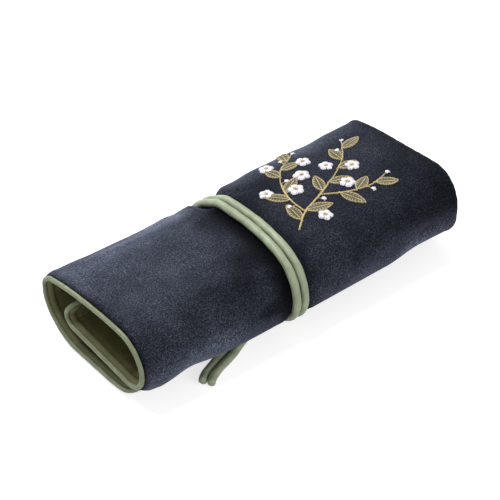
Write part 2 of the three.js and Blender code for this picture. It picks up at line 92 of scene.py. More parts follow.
# Piping, and the tie and how it presses the roll
PIPING = 3.6
TIE = 5
TIE_PITCH = 5.7
TIE_SLACK = 0.5
TIE_BACK = -5.5
TIE_LEAN = 0.036
TIE_BOW = 4.3
BACK_CREEP = 3.4  # the strands have crept to the fuller end where they turn down
BACK_CREEP_SPAN = (12, 50)
FRONT_CREEP = 2.2
FRONT_CREEP_SPAN = (24, 51)
TIE_SLANT = 0.17
TIE_SWEEP = 17.5
SWEEP_ROOM = 20.5
SWEEP_LAST = 1.15
TOP_DIP = 1.8
SIDE_DIP = 1.4
CORNER_DIP = 4.4  # deeper and steeper than on the stiff solids, the cloth gives more
CORNER_RAMP = 7.5
CORNER_DIP_FROM = 27
CORNER_DIP_TO = 42
CORNER_DIP_LOW = 0.58
CORNER_DIP_HIGH = 0.9
DIP_FLAT = 6
DIP_RAMP = 13
SLANT_LEVEL = 0.3
BOW_LEVEL = 0.8

HALF_LENGTH = ROLL_LENGTH / 2
HALF_WIDTH = ROLL_WIDTH / 2
CLOTH_HALF = HALF_LENGTH - PIPING - LAYER_GAP
FLAP_EDGE = -HALF_WIDTH + FLAP_INSET
QUARTER = math.radians(90)
FULL_TURN = 2 * math.pi


def smoothstep(value, low, high):
    share = np.clip((value - low) / (high - low), 0, 1)
    return share * share * (3 - 2 * share)


def bump(distance, width):
    return np.exp(-((distance / width) ** 2))


# Section of the roll: the outside face as a line traced from the flap's free edge to the inner edge
def section_runs():
    """Name, length and turn of each run, and where the line starts."""
    lip_rise = LIP_RADIUS * (1 - math.cos(LIP_TURN))
    flat = HALF_WIDTH - BACK_RADIUS - FLAP_EDGE - LIP_RADIUS * math.sin(LIP_TURN)
    corner_turn = QUARTER - TOP_SLOPE
    corner_end = HALF_WIDTH - CORNER_RADIUS * (1 - math.sin(TOP_SLOPE))
    top_radius = (corner_end + CROWN_FORWARD) / math.sin(TOP_SLOPE)
    corner_top = ROLL_HEIGHT - top_radius * (1 - math.cos(TOP_SLOPE))
    rise = corner_top - CORNER_RADIUS * math.cos(TOP_SLOPE) - BACK_RADIUS
    shoulder_start = -HALF_WIDTH + SHOULDER_RADIUS * (1 - math.sin(FRONT_SLOPE))
    slope_radius = (-CROWN_FORWARD - shoulder_start) / math.sin(FRONT_SLOPE)
    shoulder_top = ROLL_HEIGHT - slope_radius * (1 - math.cos(FRONT_SLOPE))
    shoulder_low = shoulder_top - SHOULDER_RADIUS * math.cos(FRONT_SLOPE)
    front_low = lip_rise + MAT + ROLL_GAP
    front_radius = (shoulder_low - front_low) / math.cos(MIDDLE_SLOPE)
    front_end = -HALF_WIDTH + front_radius * (1 + math.sin(MIDDLE_SLOPE))
    inner_start = HALF_WIDTH - MAT - BACK_ROOM - INNER_RADIUS * (1 - math.sin(MIDDLE_SLOPE))
    middle = (inner_start - front_end) / math.cos(MIDDLE_SLOPE)
    inner_low = front_low + middle * math.sin(MIDDLE_SLOPE)
    turn_top = inner_low + INNER_RADIUS * (math.cos(MIDDLE_SLOPE) - math.cos(INNER_LEAN))
    inner_rise = (corner_top - MAT - INNER_END_ROOM - turn_top) / math.sin(INNER_LEAN)
    shoulder_turn = QUARTER - FRONT_SLOPE
    front_turn = QUARTER + MIDDLE_SLOPE
    inner_turn = INNER_LEAN - MIDDLE_SLOPE
    runs = [
        ("lip", LIP_RADIUS * LIP_TURN, LIP_TURN),
        ("base", flat, 0),
        ("back", BACK_RADIUS * QUARTER, QUARTER),
        ("rise", rise, 0),
        ("corner", CORNER_RADIUS * corner_turn, corner_turn),
        ("top", top_radius * TOP_SLOPE, TOP_SLOPE),
        ("slope", slope_radius * FRONT_SLOPE, FRONT_SLOPE),
        ("shoulder", SHOULDER_RADIUS * shoulder_turn, shoulder_turn),
        ("front", front_radius * front_turn, front_turn),
        ("middle", middle, 0),
        ("turn", INNER_RADIUS * inner_turn, inner_turn),
        ("end", inner_rise, 0),
    ]
    return runs, (FLAP_EDGE, lip_rise, -LIP_TURN)


TRACE_STEP = 0.25
PAST_EDGE = 8  # the line goes on straight past both edges, for the piping


def trace_section():
    """Arc length, place and heading along the line, and where each run starts."""
    runs, (y, z, heading) = section_runs()
    marks = {}
    y -= PAST_EDGE * math.cos(heading)
    z -= PAST_EDGE * math.sin(heading)
    along = [-PAST_EDGE]
    rows = [(y, z, heading)]
    for name, length, turn in [("before", PAST_EDGE, 0), *runs, ("after", PAST_EDGE, 0)]:
        marks[name] = along[-1]
        steps = max(1, round(length / TRACE_STEP))
        step, bend = length / steps, turn / steps
        for _ in range(steps):
            y += step * math.cos(heading + bend / 2)
            z += step * math.sin(heading + bend / 2)
            heading += bend
            along.append(along[-1] + step)
            rows.append((y, z, heading))
    return np.array(along), np.array(rows).T, marks


ALONG, LINE, MARK = trace_section()
S_END = MARK["after"]
S_SPLIT = MARK["rise"] + 0.5 * (MARK["corner"] - MARK["rise"])  # where the two pieces of a layer meet


def section(s):
    """y, z and heading of the line."""
    return [np.interp(s, ALONG, values) for values in LINE]


def on_top(y):
    """Place along the line where the top of the roll is this far back."""
    top = (ALONG >= MARK["corner"]) & (ALONG <= MARK["front"])
    return np.interp(-np.asarray(y, float), -LINE[0][top], ALONG[top])


def front_bend(heading):
    """Place along the line where the front bend has turned to this heading, in degrees."""
    turned = (math.radians(heading) - 3 * QUARTER) / (QUARTER + MIDDLE_SLOPE)
    return MARK["front"] + turned * (MARK["middle"] - MARK["front"])


# How the cord presses the roll, and how the right end is fuller
def tie_over(y):
    """Middle of the tie along the roll, where it goes over the top, the back and the front."""
    bow = TIE_BOW * np.cos(QUARTER * np.clip(y / HALF_WIDTH, -1, 1))
    crept = BACK_CREEP * smoothstep(y, *BACK_CREEP_SPAN) + FRONT_CREEP * smoothstep(-y, *FRONT_CREEP_SPAN)
    return TIE_BACK - (HALF_WIDTH - y) * TIE_LEAN + bow + crept


def swept(y):
    return np.clip((FLAP_EDGE + SWEEP_ROOM - y) / SWEEP_ROOM, 0, SWEEP_LAST)


def tie_under(y):
    """Middle of the tie along the roll, where it goes slantwise under the flap."""
    return TIE_BACK - (HALF_WIDTH - y) * TIE_SLANT - TIE_SWEEP * swept(y) ** 2


def under_square(y):
    """Cosine of the angle between the strands and the way forward under the flap."""
    return np.cos(np.arctan(TIE_SLANT + 2 * TIE_SWEEP * swept(y) / SWEEP_ROOM))


def bowed(z):
    return smoothstep(z / ROLL_HEIGHT, SLANT_LEVEL, BOW_LEVEL)


def tie_centre(y, z):
    return tie_under(y) * (1 - bowed(z)) + tie_over(y) * bowed(z)


def dip(distance, ramp=DIP_RAMP):
    return 1 - smoothstep(np.abs(distance), DIP_FLAT, DIP_FLAT + ramp)


def fuller(x, z):
    return z * (1 + FULLER_END * x / HALF_LENGTH)


LIFT_FROM = -40  # in front of this the strands lie clear of the roll and lift nothing
LIFT_TO = -29


def pressed(x, y, z):
    """Places on the plain roll, moved as the tie presses it and as it gets fuller to the right."""
    height = fuller(x, ROLL_HEIGHT)
    raised = fuller(x, z)
    level = raised / height
    over = dip(x - tie_over(y))
    under = dip((x - tie_under(y)) * under_square(y)) * smoothstep(y, LIFT_FROM, LIFT_TO)
    lift = (TIE + TIE_SLACK) * under * (1 - level)
    behind = smoothstep(y, CORNER_DIP_FROM, CORNER_DIP_TO)
    steep = dip(x - tie_over(y), CORNER_RAMP)
    corner = CORNER_DIP * steep * behind * smoothstep(level, CORNER_DIP_LOW, CORNER_DIP_HIGH)
    inward = y * (1 - SIDE_DIP / HALF_WIDTH * over) - corner
    return np.stack([x, inward, raised + lift - TOP_DIP * over * level - corner], -1)


# Soft shape of the filled mat, as millimetres that it stands proud of the plain roll
S_BACK_CORNER = MARK["corner"] + 0.5 * (MARK["top"] - MARK["corner"])
S_LOW = MARK["front"] + 0.2 * (MARK["middle"] - MARK["front"])
S_SAG = front_bend(318)  # the velvet hangs lowest here
SAG = 3.3
CREASE_MIDDLE = -74

# Slow waves: height, millimetres for each radian along the roll and along the section, and start
WAVES = [(0.5, 21, 33, 1.1), (0.4, 13, -19, 0.4), (0.3, 9.5, 11, 2.3), (0.25, -7.1, 14, 4.0)]

# Creases that fan out from the tie: height, the run that they cross and how far along it, slant, width, and
# place beside the tie and reach there
FOLDS = [
    (1.0, "shoulder", 16, 0.32, 3.4, -17, 13),
    (-0.8, "shoulder", 24, -0.25, 3.0, -20, 12),
    (0.8, "shoulder", 20, -0.3, 3.4, 18, 12),
    (0.7, "top", 10, -0.35, 3.6, -18, 13),
    (-0.7, "top", 4, 0.4, 3.4, 16, 11),
]

# Dents in the back edge: place along the roll, reach and depth
BACK_DENTS = [(-55, 22, 4.4), (-20, 9, 2.8), (19, 11, 1.3), (77, 13, 1.8)]

# Dents and swellings of the front of the right half: place and reach along the roll, place and reach along
# the section, and height
FRONT_LUMPS = [
    (94, 15, MARK["front"] + 8, 14, -1.8),
    (92, 17, S_LOW + 2, 4, 1.3),
    (92, 17, S_LOW - 6, 4.5, -1.8),
]


def shown(s):
    """1 on the outside of the roll that the eye can reach, 0 where the mat lies inside or underneath."""
    hidden = smoothstep(s, MARK["front"] + 4, MARK["front"] + 22)
    return smoothstep(s, MARK["back"], MARK["rise"]) * (1 - hidden)


def slow_waves(x, s):
    return sum(height * np.sin(x / along + s / around + start) for height, along, around, start in WAVES)


def folds(x, s):
    from_tie = x - tie_over(section(s)[0])
    return sum(
        height * bump(s - MARK[run] - far - slant * from_tie, width) * bump(from_tie - beside, reach)
        for height, run, far, slant, width, beside, reach in FOLDS
    )


def lumps(x, s, places):
    return sum(
        height * bump(x - at_x, along) * bump(s - at_s, around)
        for at_x, along, at_s, around, height in places
    )


def back_crease(x, s):
    """Distance from the low fold that runs along the back of the left half."""
    return s - S_BACK_CORNER - 11 - 0.1 * (x - CREASE_MIDDLE)


def swell(x, s):
    """How far the outside stands proud of the plain roll, before the tie presses it."""
    near_tie = np.abs(x - tie_over(section(s)[0]))
    beside_tie = 0.9 * bump(near_tie - 10.5, 4.2)
    crest = 0.9 * bump(back_crease(x, s), 2.6) * bump(x - CREASE_MIDDLE, 20)
    back_edge = bump(s - S_BACK_CORNER - 1, 16) * smoothstep(s, S_SPLIT, S_SPLIT + 8)
    low_left = 2.0 * smoothstep(-x, 60, 90)
    dents = low_left + sum(depth * bump(x - at_x, along) for at_x, along, depth in BACK_DENTS)
    full_front = 1.3 * smoothstep(x, 75, 112) * bump(s - MARK["shoulder"] - 6, 24)
    full_back = 2.2 * smoothstep(-x, 70, 108) * bump(s - MARK["rise"] + 10, 17)
    proud = 0.75 * slow_waves(x, s) + folds(x, s) + beside_tie + crest - dents * back_edge
    proud += lumps(x, s, FRONT_LUMPS) + full_front + full_back
    sag = SAG * bump(s - S_SAG, 11) * smoothstep(x, -117, -101) * smoothstep(near_tie, 4.9, 7.6)
    less_sag = (1 - 0.75 * bump(x + 82, 13)) * (1 - 0.75 * smoothstep(x, 62, 88))
    return shown(s) * proud + sag * less_sag


# The right end rolls inwards, so that its piping faces away
BEND_START = 113.4
BEND_RADIUS = 4.5
BEND_TURN = math.radians(80)
BEND_DEPTH = 2.4  # deeper layers don't turn with the velvet
DEEP_DRAW = 0.35  # share by which they are drawn in instead
LEFT_EDGE = -CLOTH_HALF - 2.6
RIGHT_EDGE = BEND_START + BEND_RADIUS * BEND_TURN


def rolled_end(x, depth):
    """Place along the roll and drop below the plain outside face, at this depth in the mat."""
    turned = np.clip((x - BEND_START) / BEND_RADIUS, 0, BEND_TURN)
    thin = np.minimum(depth, BEND_DEPTH)
    reach = BEND_RADIUS - thin
    along = x - turned * BEND_RADIUS + reach * np.sin(turned)
    drawn = (depth - thin) * (1 - DEEP_DRAW * turned / BEND_TURN)
    return along, BEND_RADIUS - reach * np.cos(turned) + drawn


FLAP_TUCK = 6.5  # how far the middle of the free edge has crept back under the roll
TUCK_SPAN = (-112, -85)  # it sets in here, from the left end
TUCK_FADE = 60
FILLING_GIVES = 0.75  # share of the outside's swelling that is gone at the lining


def tucked(x, s):
    """Place along the section, which creeps under near the free edge."""
    return s + FLAP_TUCK * smoothstep(x, *TUCK_SPAN) * np.clip(1 - s / TUCK_FADE, 0, None)


def surface(x, s, depth):
    """Places on the mat, at a depth below its outside face. The deeper layers follow its swelling less."""
    s = tucked(x, s)
    y, z, heading = section(s)
    given = 1 - FILLING_GIVES * np.clip(depth / MAT, 0, 1)
    along, under = rolled_end(x, depth - swell(x, s) * given)
    return pressed(along, y - under * np.sin(heading), z + under * np.cos(heading))


# Lines
def travelled(line):
    """How far along the line each of its points is."""
    return np.concatenate([[0], np.cumsum(np.linalg.norm(np.diff(line, axis=0), axis=1))])


def directions(line):
    ahead = np.gradient(line, axis=0)
    return ahead / np.linalg.norm(ahead, axis=1)[:, None]


def smooth_line(points, step):
    """Points every step along a smooth curve through the given ones."""
    points = np.asarray(points, float)
    ends = np.vstack([2 * points[0] - points[1], points, 2 * points[-1] - points[-2]])
    dense = []
    for a, b, c, d in zip(ends, ends[1:], ends[2:], ends[3:]):
        t = np.linspace(0, 1, 12, endpoint=False)[:, None]
        bent = (2 * a - 5 * b + 4 * c - d) * t**2 + (3 * b - a - 3 * c + d) * t**3
        dense.append(0.5 * (2 * b + (c - a) * t + bent))
    dense = np.vstack([*dense, points[-1:]])
    far = travelled(dense)
    even = np.linspace(0, far[-1], max(2, round(far[-1] / step)) + 1)
    return np.stack([np.interp(even, far, values) for values in dense.T], 1)


# Meshes
def new_object(name, data):
    thing = bpy.data.objects.new(name, data)
    bpy.context.scene.collection.objects.link(thing)
    return thing


def make_object(name, points, faces, material, uv=None):
    """A mesh from places in millimetres. uv gives each point's place on the flat cloth, in metres."""
    mesh = bpy.data.meshes.new(name)
    mesh.from_pydata((np.asarray(points) * MM).tolist(), [], [list(face) for face in faces])
    mesh.polygons.foreach_set("use_smooth", [True] * len(mesh.polygons))
    if uv is not None:
        corners = np.empty(len(mesh.loops), int)
        mesh.loops.foreach_get("vertex_index", corners)
        layer = mesh.uv_layers.new(name="cloth")
        layer.data.foreach_set("uv", (np.asarray(uv)[corners] * MM).ravel())
    mesh.materials.append(material)
    mesh.update()
    return new_object(name, mesh)


def grid_faces(rows, columns, start=0):
    i, j = np.meshgrid(np.arange(rows - 1), np.arange(columns - 1), indexing="ij")
    a = start + (i * columns + j).ravel()
    return np.stack([a, a + columns, a + columns + 1, a + 1], 1)


def shell(name, outer, inner, uv, material):
    """Closed cloth between two grids of places, of which outer faces out of the roll."""
    rows, columns, _ = outer.shape
    count = rows * columns
    front = grid_faces(rows, columns)
    back = grid_faces(rows, columns, count)[:, ::-1]
    at = np.arange(count).reshape(rows, columns)
    ring = np.concatenate([at[0], at[1:, -1], at[-1, -2::-1], at[-2:0:-1, 0]])
    following = np.roll(ring, -1)
    rim = np.stack([ring, following, following + count, ring + count], 1)
    points = np.concatenate([outer.reshape(-1, 3), inner.reshape(-1, 3)])
    faces = np.concatenate([front, back, rim])
    return make_object(name, points, faces, material, np.concatenate([uv.reshape(-1, 2)] * 2))


def corner_angles(sides):
    return FULL_TURN * np.arange(sides) / sides


def ring_faces(rings, sides):
    """Faces between rings of places, and one across each end."""
    i, j = np.meshgrid(np.arange(rings - 1), np.arange(sides), indexing="ij")
    a = (i * sides + j).ravel()
    b = (i * sides + (j + 1) % sides).ravel()
    faces = np.stack([a, b, b + sides, a + sides], 1).tolist()
    faces.append(list(range(sides))[::-1])
    faces.append([(rings - 1) * sides + k for k in range(sides)])
    return faces


def tube(name, route, radius, sides, material):
    """A round tube along a route. radius has a value for each place and side."""
    route = np.asarray(route, float)
    ahead = directions(route)
    across = np.empty_like(route)
    side = np.cross(ahead[0], (0.3, 0.2, 1))  # no route starts along this direction
    for i, direction in enumerate(ahead):
        side = side - direction * side.dot(direction)
        side /= np.linalg.norm(side)
        across[i] = side
    upright = np.cross(ahead, across)
    angle = corner_angles(sides)
    around = across[:, None] * np.cos(angle)[None, :, None] + upright[:, None] * np.sin(angle)[None, :, None]
    points = (route[:, None] + radius[..., None] * around).reshape(-1, 3)
    flat = np.stack(np.broadcast_arrays((angle * TIE / 2)[None, :], travelled(route)[:, None]), -1)
    return make_object(name, points, ring_faces(len(route), sides), material, flat.reshape(-1, 2))


def face_outwards(piece):
    shape = bmesh.new()
    shape.from_mesh(piece.data)
    bmesh.ops.recalc_face_normals(shape, faces=shape.faces)
    shape.to_mesh(piece.data)
    shape.free()


def fit(piece, node, body):
    """The piece stands for this node, which is hidden, and moves with this body."""
    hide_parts(node)
    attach(piece, body)


# Materials
def srgb(code):
    """A colour written as sRGB hex, turned to linear."""
    values = [int(code[i : i + 2], 16) / 255 for i in (1, 3, 5)]
    linear = [v / 12.92 if v <= 0.04045 else ((v + 0.055) / 1.055) ** 2.4 for v in values]
    return (*linear, 1.0)


def add_node(tree, kind, inputs=(), steps=(), **settings):
    """A node with its settings. inputs pairs a socket's name or number with a value or another socket. steps
    are the places and colours of a colour ramp."""
    made = tree.nodes.new(kind)
    for key, value in settings.items():
        setattr(made, key, value)
    for key, value in dict(inputs).items():
        if isinstance(value, bpy.types.NodeSocket):
            tree.links.new(value, made.inputs[key])
        else:
            made.inputs[key].default_value = value
    if steps:
        elements = made.color_ramp.elements
        while len(elements) < len(steps):
            elements.new(0.5)
        for element, (place, code) in zip(elements, steps):
            element.position = place
            element.color = srgb(code)
    return made


def new_material(name, **values):
    """A material whose shader has these constant values, with underscores for the spaces in their names."""
    material = bpy.data.materials.new(name)
    material.use_nodes = True
    tree = material.node_tree
    shader = tree.nodes["Principled BSDF"]
    for key, value in values.items():
        shader.inputs[key.replace("_", " ")].default_value = value
    return material, tree, shader


def speckle(tree, place, size, detail=3, roughness=0.5, *steps):
    """Lumps of about size millimetres, as a height from 0 to 1 and as colours blended between steps of it."""
    settings = {"Vector": place, "Scale": 1 / (size * MM), "Detail": detail, "Roughness": roughness}
    height = add_node(tree, "ShaderNodeTexNoise", settings).outputs[0]
    colour = add_node(tree, "ShaderNodeValToRGB", {0: height}, steps).outputs[0] if steps else None
    return height, colour


def dress_shader(tree, shader, colour, *reliefs):
    """Colour and relief of a surface. A relief is a height, the millimetres that a height of 1 stands out,
    and its strength. Each lies on the one before."""
    tree.links.new(colour, shader.inputs["Base Color"])
    for height, depth, strength in reliefs:
        inputs = {"Height": height, "Distance": depth * MM, "Strength": strength}
        if shader.inputs["Normal"].is_linked:
            inputs["Normal"] = shader.inputs["Normal"].links[0].from_socket
        normal = add_node(tree, "ShaderNodeBump", inputs).outputs[0]
        tree.links.new(normal, shader.inputs["Normal"])


MULTIPLY_COLOURS = {"data_type": "RGBA", "blend_type": "MULTIPLY"}


def velvet_material():
    """Cotton velvet: short upright pile, dull face on, with a grey sheen where it is seen from the side. The
    pile attribute holds painted light and shade, which scales its colour and its sheen weight. The tufts are
    drawn about 0.8 mm wide so that they show."""
    material, tree, shader = new_material(
        "cotton_velvet",
        Roughness=0.92,
        Specular_IOR_Level=0.04,
        Sheen_Roughness=0.38,
        Sheen_Tint=srgb("#a9b0c6"),
    )
    place = add_node(tree, "ShaderNodeTexCoord").outputs["Object"]
    _, patches = speckle(tree, place, 20, 4, 0.6, (0.33, "#3b3f4b"), (0.52, "#464b57"), (0.7, "#545966"))
    grain, tufts = speckle(tree, place, 0.8, 3, 0.65, (0.36, "#2c2c32"), (0.5, "#8e8e96"), (0.63, "#ffffff"))
    soft, _ = speckle(tree, place, 5, 2)
    # brushed holds the painted light and shade from the pile attribute: it scales the colour, and half of it
    # sets the sheen weight
    brushed = add_node(tree, "ShaderNodeAttribute", attribute_name="pile").outputs["Fac"]
    tufted = add_node(tree, "ShaderNodeMix", {0: 0.9, 6: patches, 7: tufts}, **MULTIPLY_COLOURS).outputs[2]
    toned = add_node(tree, "ShaderNodeMix", {0: 1.0, 6: tufted, 7: brushed}, **MULTIPLY_COLOURS).outputs[2]
    painted_sheen_weight = add_node(tree, "ShaderNodeMath", {0: brushed, 1: 0.5}, operation="MULTIPLY").outputs[0]
    tree.links.new(painted_sheen_weight, shader.inputs["Sheen Weight"])
    dress_shader(tree, shader, toned, (grain, 0.6, 0.7), (soft, 0.6, 0.3))
    return material


def satin_material(name, low, middle, high, roughness, thread, gloss=0.42):
    """Woven satin: long floats lie one way, so it has a soft broad shine with faint threads across it."""
    material, tree, shader = new_material(
        name,
        Roughness=roughness,
        Specular_IOR_Level=gloss,
        Anisotropic=0.35,
        Sheen_Weight=0.25 * gloss,
        Sheen_Roughness=0.3,
    )
    cloth = add_node(tree, "ShaderNodeUVMap", uv_map="cloth").outputs[0]
    stretched = add_node(tree, "ShaderNodeMapping", {"Vector": cloth, "Scale": (1, 0.12, 1)}).outputs[0]
    threads, shade = speckle(tree, stretched, thread, 3, 0.6, (0.3, "#cfcfcf"), (0.7, "#ffffff"))
    _, tone = speckle(tree, cloth, 9, 2, 0.5, (0.3, low), (0.5, middle), (0.72, high))
    creases, _ = speckle(tree, cloth, 3.2)
    woven = add_node(tree, "ShaderNodeMix", {0: 0.6, 6: tone, 7: shade}, **MULTIPLY_COLOURS).outputs[2]
    dress_shader(tree, shader, woven, (creases, 0.5, 0.3), (threads, 0.1, 0.35))
    return material


def wadding_material():
    """Bonded polyester wadding: matt off-white fibres, a little lumpy."""
    material, tree, shader = new_material("polyester_wadding", Roughness=0.95, Sheen_Weight=0.2)
    place = add_node(tree, "ShaderNodeTexCoord").outputs["Object"]
    fibres, tone = speckle(tree, place, 1.6, 5, 0.75, (0.3, "#cfccc2"), (0.7, "#f0eee6"))
    dress_shader(tree, shader, tone, (fibres, 0.8, 0.7))
    return material


TAPE_WAVES = 176.37  # scale at which the ribs come out about 1 mm wide


def tape_material():
    """Woven polyester zip tape: matt, with slanting ribs that are drawn wider than real so that they show."""
    material, tree, shader = new_material("woven_zip_tape", Roughness=0.8, Specular_IOR_Level=0.25)
    place = add_node(tree, "ShaderNodeTexCoord").outputs["Object"]
    wave = add_node(
        tree,
        "ShaderNodeTexWave",
        {"Vector": place, "Scale": TAPE_WAVES, "Distortion": 1.5, "Detail": 2},
        wave_type="BANDS",
        bands_direction="DIAGONAL",
    ).outputs[0]
    steps = [(0.2, "#6a6f53"), (0.8, "#8b9071")]
    tone = add_node(tree, "ShaderNodeValToRGB", {0: wave}, steps).outputs[0]
    dress_shader(tree, shader, tone, (wave, 0.15, 0.5))
    return material


def coil_material():
    """Nylon monofilament of the zip: moulded, smooth and a little waxy."""
    material, tree, shader = new_material("nylon_coil", Roughness=0.38, Specular_IOR_Level=0.5)
    place = add_node(tree, "ShaderNodeTexCoord").outputs["Object"]
    _, tone = speckle(tree, place, 2, 3, 0.5, (0.3, "#82876a"), (0.7, "#999e7f"))
    ripples, _ = speckle(tree, place, 0.4)
    dress_shader(tree, shader, tone, (ripples, 0.03, 0.4))
    return material


def brass_material():
    """Cast brass, brushed and lacquered: fine scratches one way and a warm soft shine."""
    material, tree, shader = new_material("brushed_brass", Metallic=1.0, Coat_Weight=0.3, Coat_Roughness=0.25)
    place = add_node(tree, "ShaderNodeTexCoord").outputs["Object"]
    stretched = add_node(tree, "ShaderNodeMapping", {"Vector": place, "Scale": (0.08, 1, 1)}).outputs[0]
    scratches, _ = speckle(tree, stretched, 0.25, 4, 0.7)
    _, tone = speckle(tree, place, 3, 3, 0.5, (0.3, "#b08d4c"), (0.7, "#cdae6b"))
    worn = add_node(tree, "ShaderNodeMapRange", {0: scratches, 1: 0.3, 2: 0.7, 3: 0.24, 4: 0.42}).outputs[0]
    tree.links.new(worn, shader.inputs["Roughness"])
    dress_shader(tree, shader, tone, (scratches, 0.02, 0.5))
    return material


def thread_material(name, dark, light):
    """Rayon embroidery thread: twisted and shiny, so its strands glint along the stitches."""
    material, tree, shader = new_material(name, Roughness=0.4, Sheen_Weight=0.2, Specular_IOR_Level=0.5)
    place = add_node(tree, "ShaderNodeTexCoord").outputs["Object"]
    _, tone = speckle(tree, place, 0.8, 3, 0.7, (0.3, dark), (0.7, light))
    twist, _ = speckle(tree, place, 0.18)
    dress_shader(tree, shader, tone, (twist, 0.05, 0.5))
    return material


velvet = velvet_material()
lining = satin_material("satin_lining", "#5a583a", "#626040", "#6a6848", 0.55, 0.45, gloss=0.2)
piping = satin_material("satin_piping", "#697155", "#788064", "#868e72", 0.5, 0.4, gloss=0.35)
tie_satin = satin_material("satin_tie", "#828d72", "#929c80", "#a1ab90", 0.48, 0.45)
wadding = wadding_material()
tape = tape_material()
nylon = coil_material()
brass = brass_material()
white_thread = thread_material("white_thread", "#c9c4cf", "#f4f2f6")
gold_thread = thread_material("gold_thread", "#8f763f", "#e0cf98")
leaf_thread = thread_material("olive_thread", "#34341f", "#555334")
sewing_thread = thread_material("sewing_thread", "#7f876a", "#a5ad8f")

FINISHES = {
    "velvet": velvet,
    "wadding": wadding,
    "satin_lining": lining,
    "satin_piping": piping,
    "satin_tie": tie_satin,
    "zip_tape": tape,
    "zip_coil": nylon,
    "brass": brass,
}


# The tie: one cord folded in half, whose two strands lie side by side
STRAND_REACH = TIE / 2 + TIE_SLACK
STRAND_RADIUS = 0.985 * TIE / 2
STRAND_STEP = 1.2
STRAND_SIDES = 20
STRAND_STATIONS = 70
STRAND_END = 1.6  # the free end is rounded over this length
STRAND_EASE = 4  # rounds of smoothing, as a taut cord spans small dents
STRAND_SLACK = 0.9  # the strands hang a little away from the velvet under the front
TIE_FRONT = tie_over(-HALF_WIDTH)
TIE_START = (-33.5, 6.5)  # y and z of the end that is sewn to the tab, under the front of the roll
UNDER_HEADING = 338  # heading of the velvet where the strands leave it
TABLE_LAY = TIE / 2 + 0.1
LEFT_TAIL = [(-48.5, -35.4, 3.2), (-61.5, -40.3, 2.6), (-70.5, -44.2, 2.6), (-76.5, -49, 2.6)]
RIGHT_TAIL = [(-46.4, -40, 2.8), (-61, -45.4, 2.6), (-68.5, -48.9, 2.6), (-73.7, -53.3, 2.6)]


def strand_route(side, tail):
    """From the tab up the front, over the top, down the back and slantwise under the flap to the free end."""
    start = (TIE_FRONT + side * TIE_PITCH / 2, *TIE_START)
    s = np.linspace(front_bend(UNDER_HEADING), MARK["lip"] + LIP_RADIUS * LIP_TURN / 3, STRAND_STATIONS)
    y, z, heading = section(s)
    in_front = smoothstep(s, MARK["shoulder"] - 8, MARK["shoulder"] + 8)
    square = under_square(y) * (1 - bowed(z)) + bowed(z)
    pitch = TIE_PITCH * (in_front + (1 - in_front) / square)
    centre = tie_over(y) * in_front + tie_centre(y, z) * (1 - in_front)
    laid = pressed(centre + side * pitch / 2, y, z)
    reach = STRAND_REACH + STRAND_SLACK * bump(s - S_SAG, 12)
    laid[:, 1] += reach * np.sin(heading)
    laid[:, 2] -= reach * np.cos(heading)
    laid[:, 2] = np.maximum(laid[:, 2], TABLE_LAY)
    for _ in range(STRAND_EASE):
        laid[1:-1] = 0.25 * laid[:-2] + 0.5 * laid[1:-1] + 0.25 * laid[2:]
    return smooth_line([start, *laid.tolist(), *tail], STRAND_STEP)


def make_strand(name, side, tail):
    route = strand_route(side, tail)
    far = np.arange(len(route))[:, None] * STRAND_STEP
    angle = corner_angles(STRAND_SIDES)
    near_end = np.clip((far[-1] - far) / STRAND_END, 0, 1)
    narrow = np.sqrt(np.clip(1 - (1 - near_end) ** 2, 0.12, 1))
    soft = 1 + 0.025 * np.sin(far / 3.1 + 2 * angle) + 0.02 * np.sin(far / 1.7 - 3 * angle + side)
    seam = 0.05 * bump(angle - 4.4, 0.22)
    strand = tube(name, route, STRAND_RADIUS * narrow * (soft - seam), STRAND_SIDES, tie_satin)
    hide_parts(name.replace("cord", "strand"))
    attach(strand, "flap")
    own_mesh(strand)


make_strand("tie_left_cord", -1, LEFT_TAIL)
make_strand("tie_right_cord", 1, RIGHT_TAIL)


# The mat: each layer has one piece for the flap and the lower back, and one for the rest
CORNER = 6  # radius of the mat's corners
GRID = 1.3
FINE_GRID = 0.5  # near the two ends, where the cloth turns in to the piping
FINE_ZONE = 7.5


def columns(step, fine):
    """Places across the flat mat from its left edge to its right edge, closer together near both."""
    near = np.arange(0, FINE_ZONE, fine)
    count = round((RIGHT_EDGE - LEFT_EDGE) / step)
    inner = np.linspace(LEFT_EDGE + FINE_ZONE, RIGHT_EDGE - FINE_ZONE, count)
    return np.concatenate([LEFT_EDGE + near, inner, RIGHT_EDGE - near[::-1]])


def corner_inset(s):
    into = np.clip(CORNER - np.minimum(s, S_END - s), 0, CORNER)
    return CORNER - np.sqrt(CORNER**2 - into**2)


def mat_grid(start, end, step, fine):
    s = np.linspace(start, end, round((end - start) / step) + 1)[:, None]
    middle, half = (LEFT_EDGE + RIGHT_EDGE) / 2, (RIGHT_EDGE - LEFT_EDGE) / 2
    x = middle + (columns(step, fine)[None, :] - middle) * (1 - corner_inset(s) / half)
    return x, s + np.zeros_like(x)


def edge_distance(x, s):
    inset = corner_inset(s)
    across = np.minimum(x - LEFT_EDGE - inset, RIGHT_EDGE - inset - x)
    return np.clip(np.minimum(across, np.minimum(s, S_END - s)), 0, None)


def pinch(x, s, reach):
    """1 at the mat's edge and 0 from reach inwards, on a quarter circle, as stuffed cloth meets a seam."""
    into = np.clip(1 - edge_distance(x, s) / reach, 0, 1)
    return 1 - np.sqrt(1 - into**2)


def seam_ripple(x, s):
    """Small puckers that the piping's seam draws into the cloth."""
    near = np.exp(-edge_distance(x, s) / 5)
    along = np.where(np.minimum(s, S_END - s) < 8, x, s)
    return near * (0.16 * np.sin(along / 1.25 + 0.8 * np.sin(along / 7)) + 0.1 * np.sin(along / 0.71 + 1))


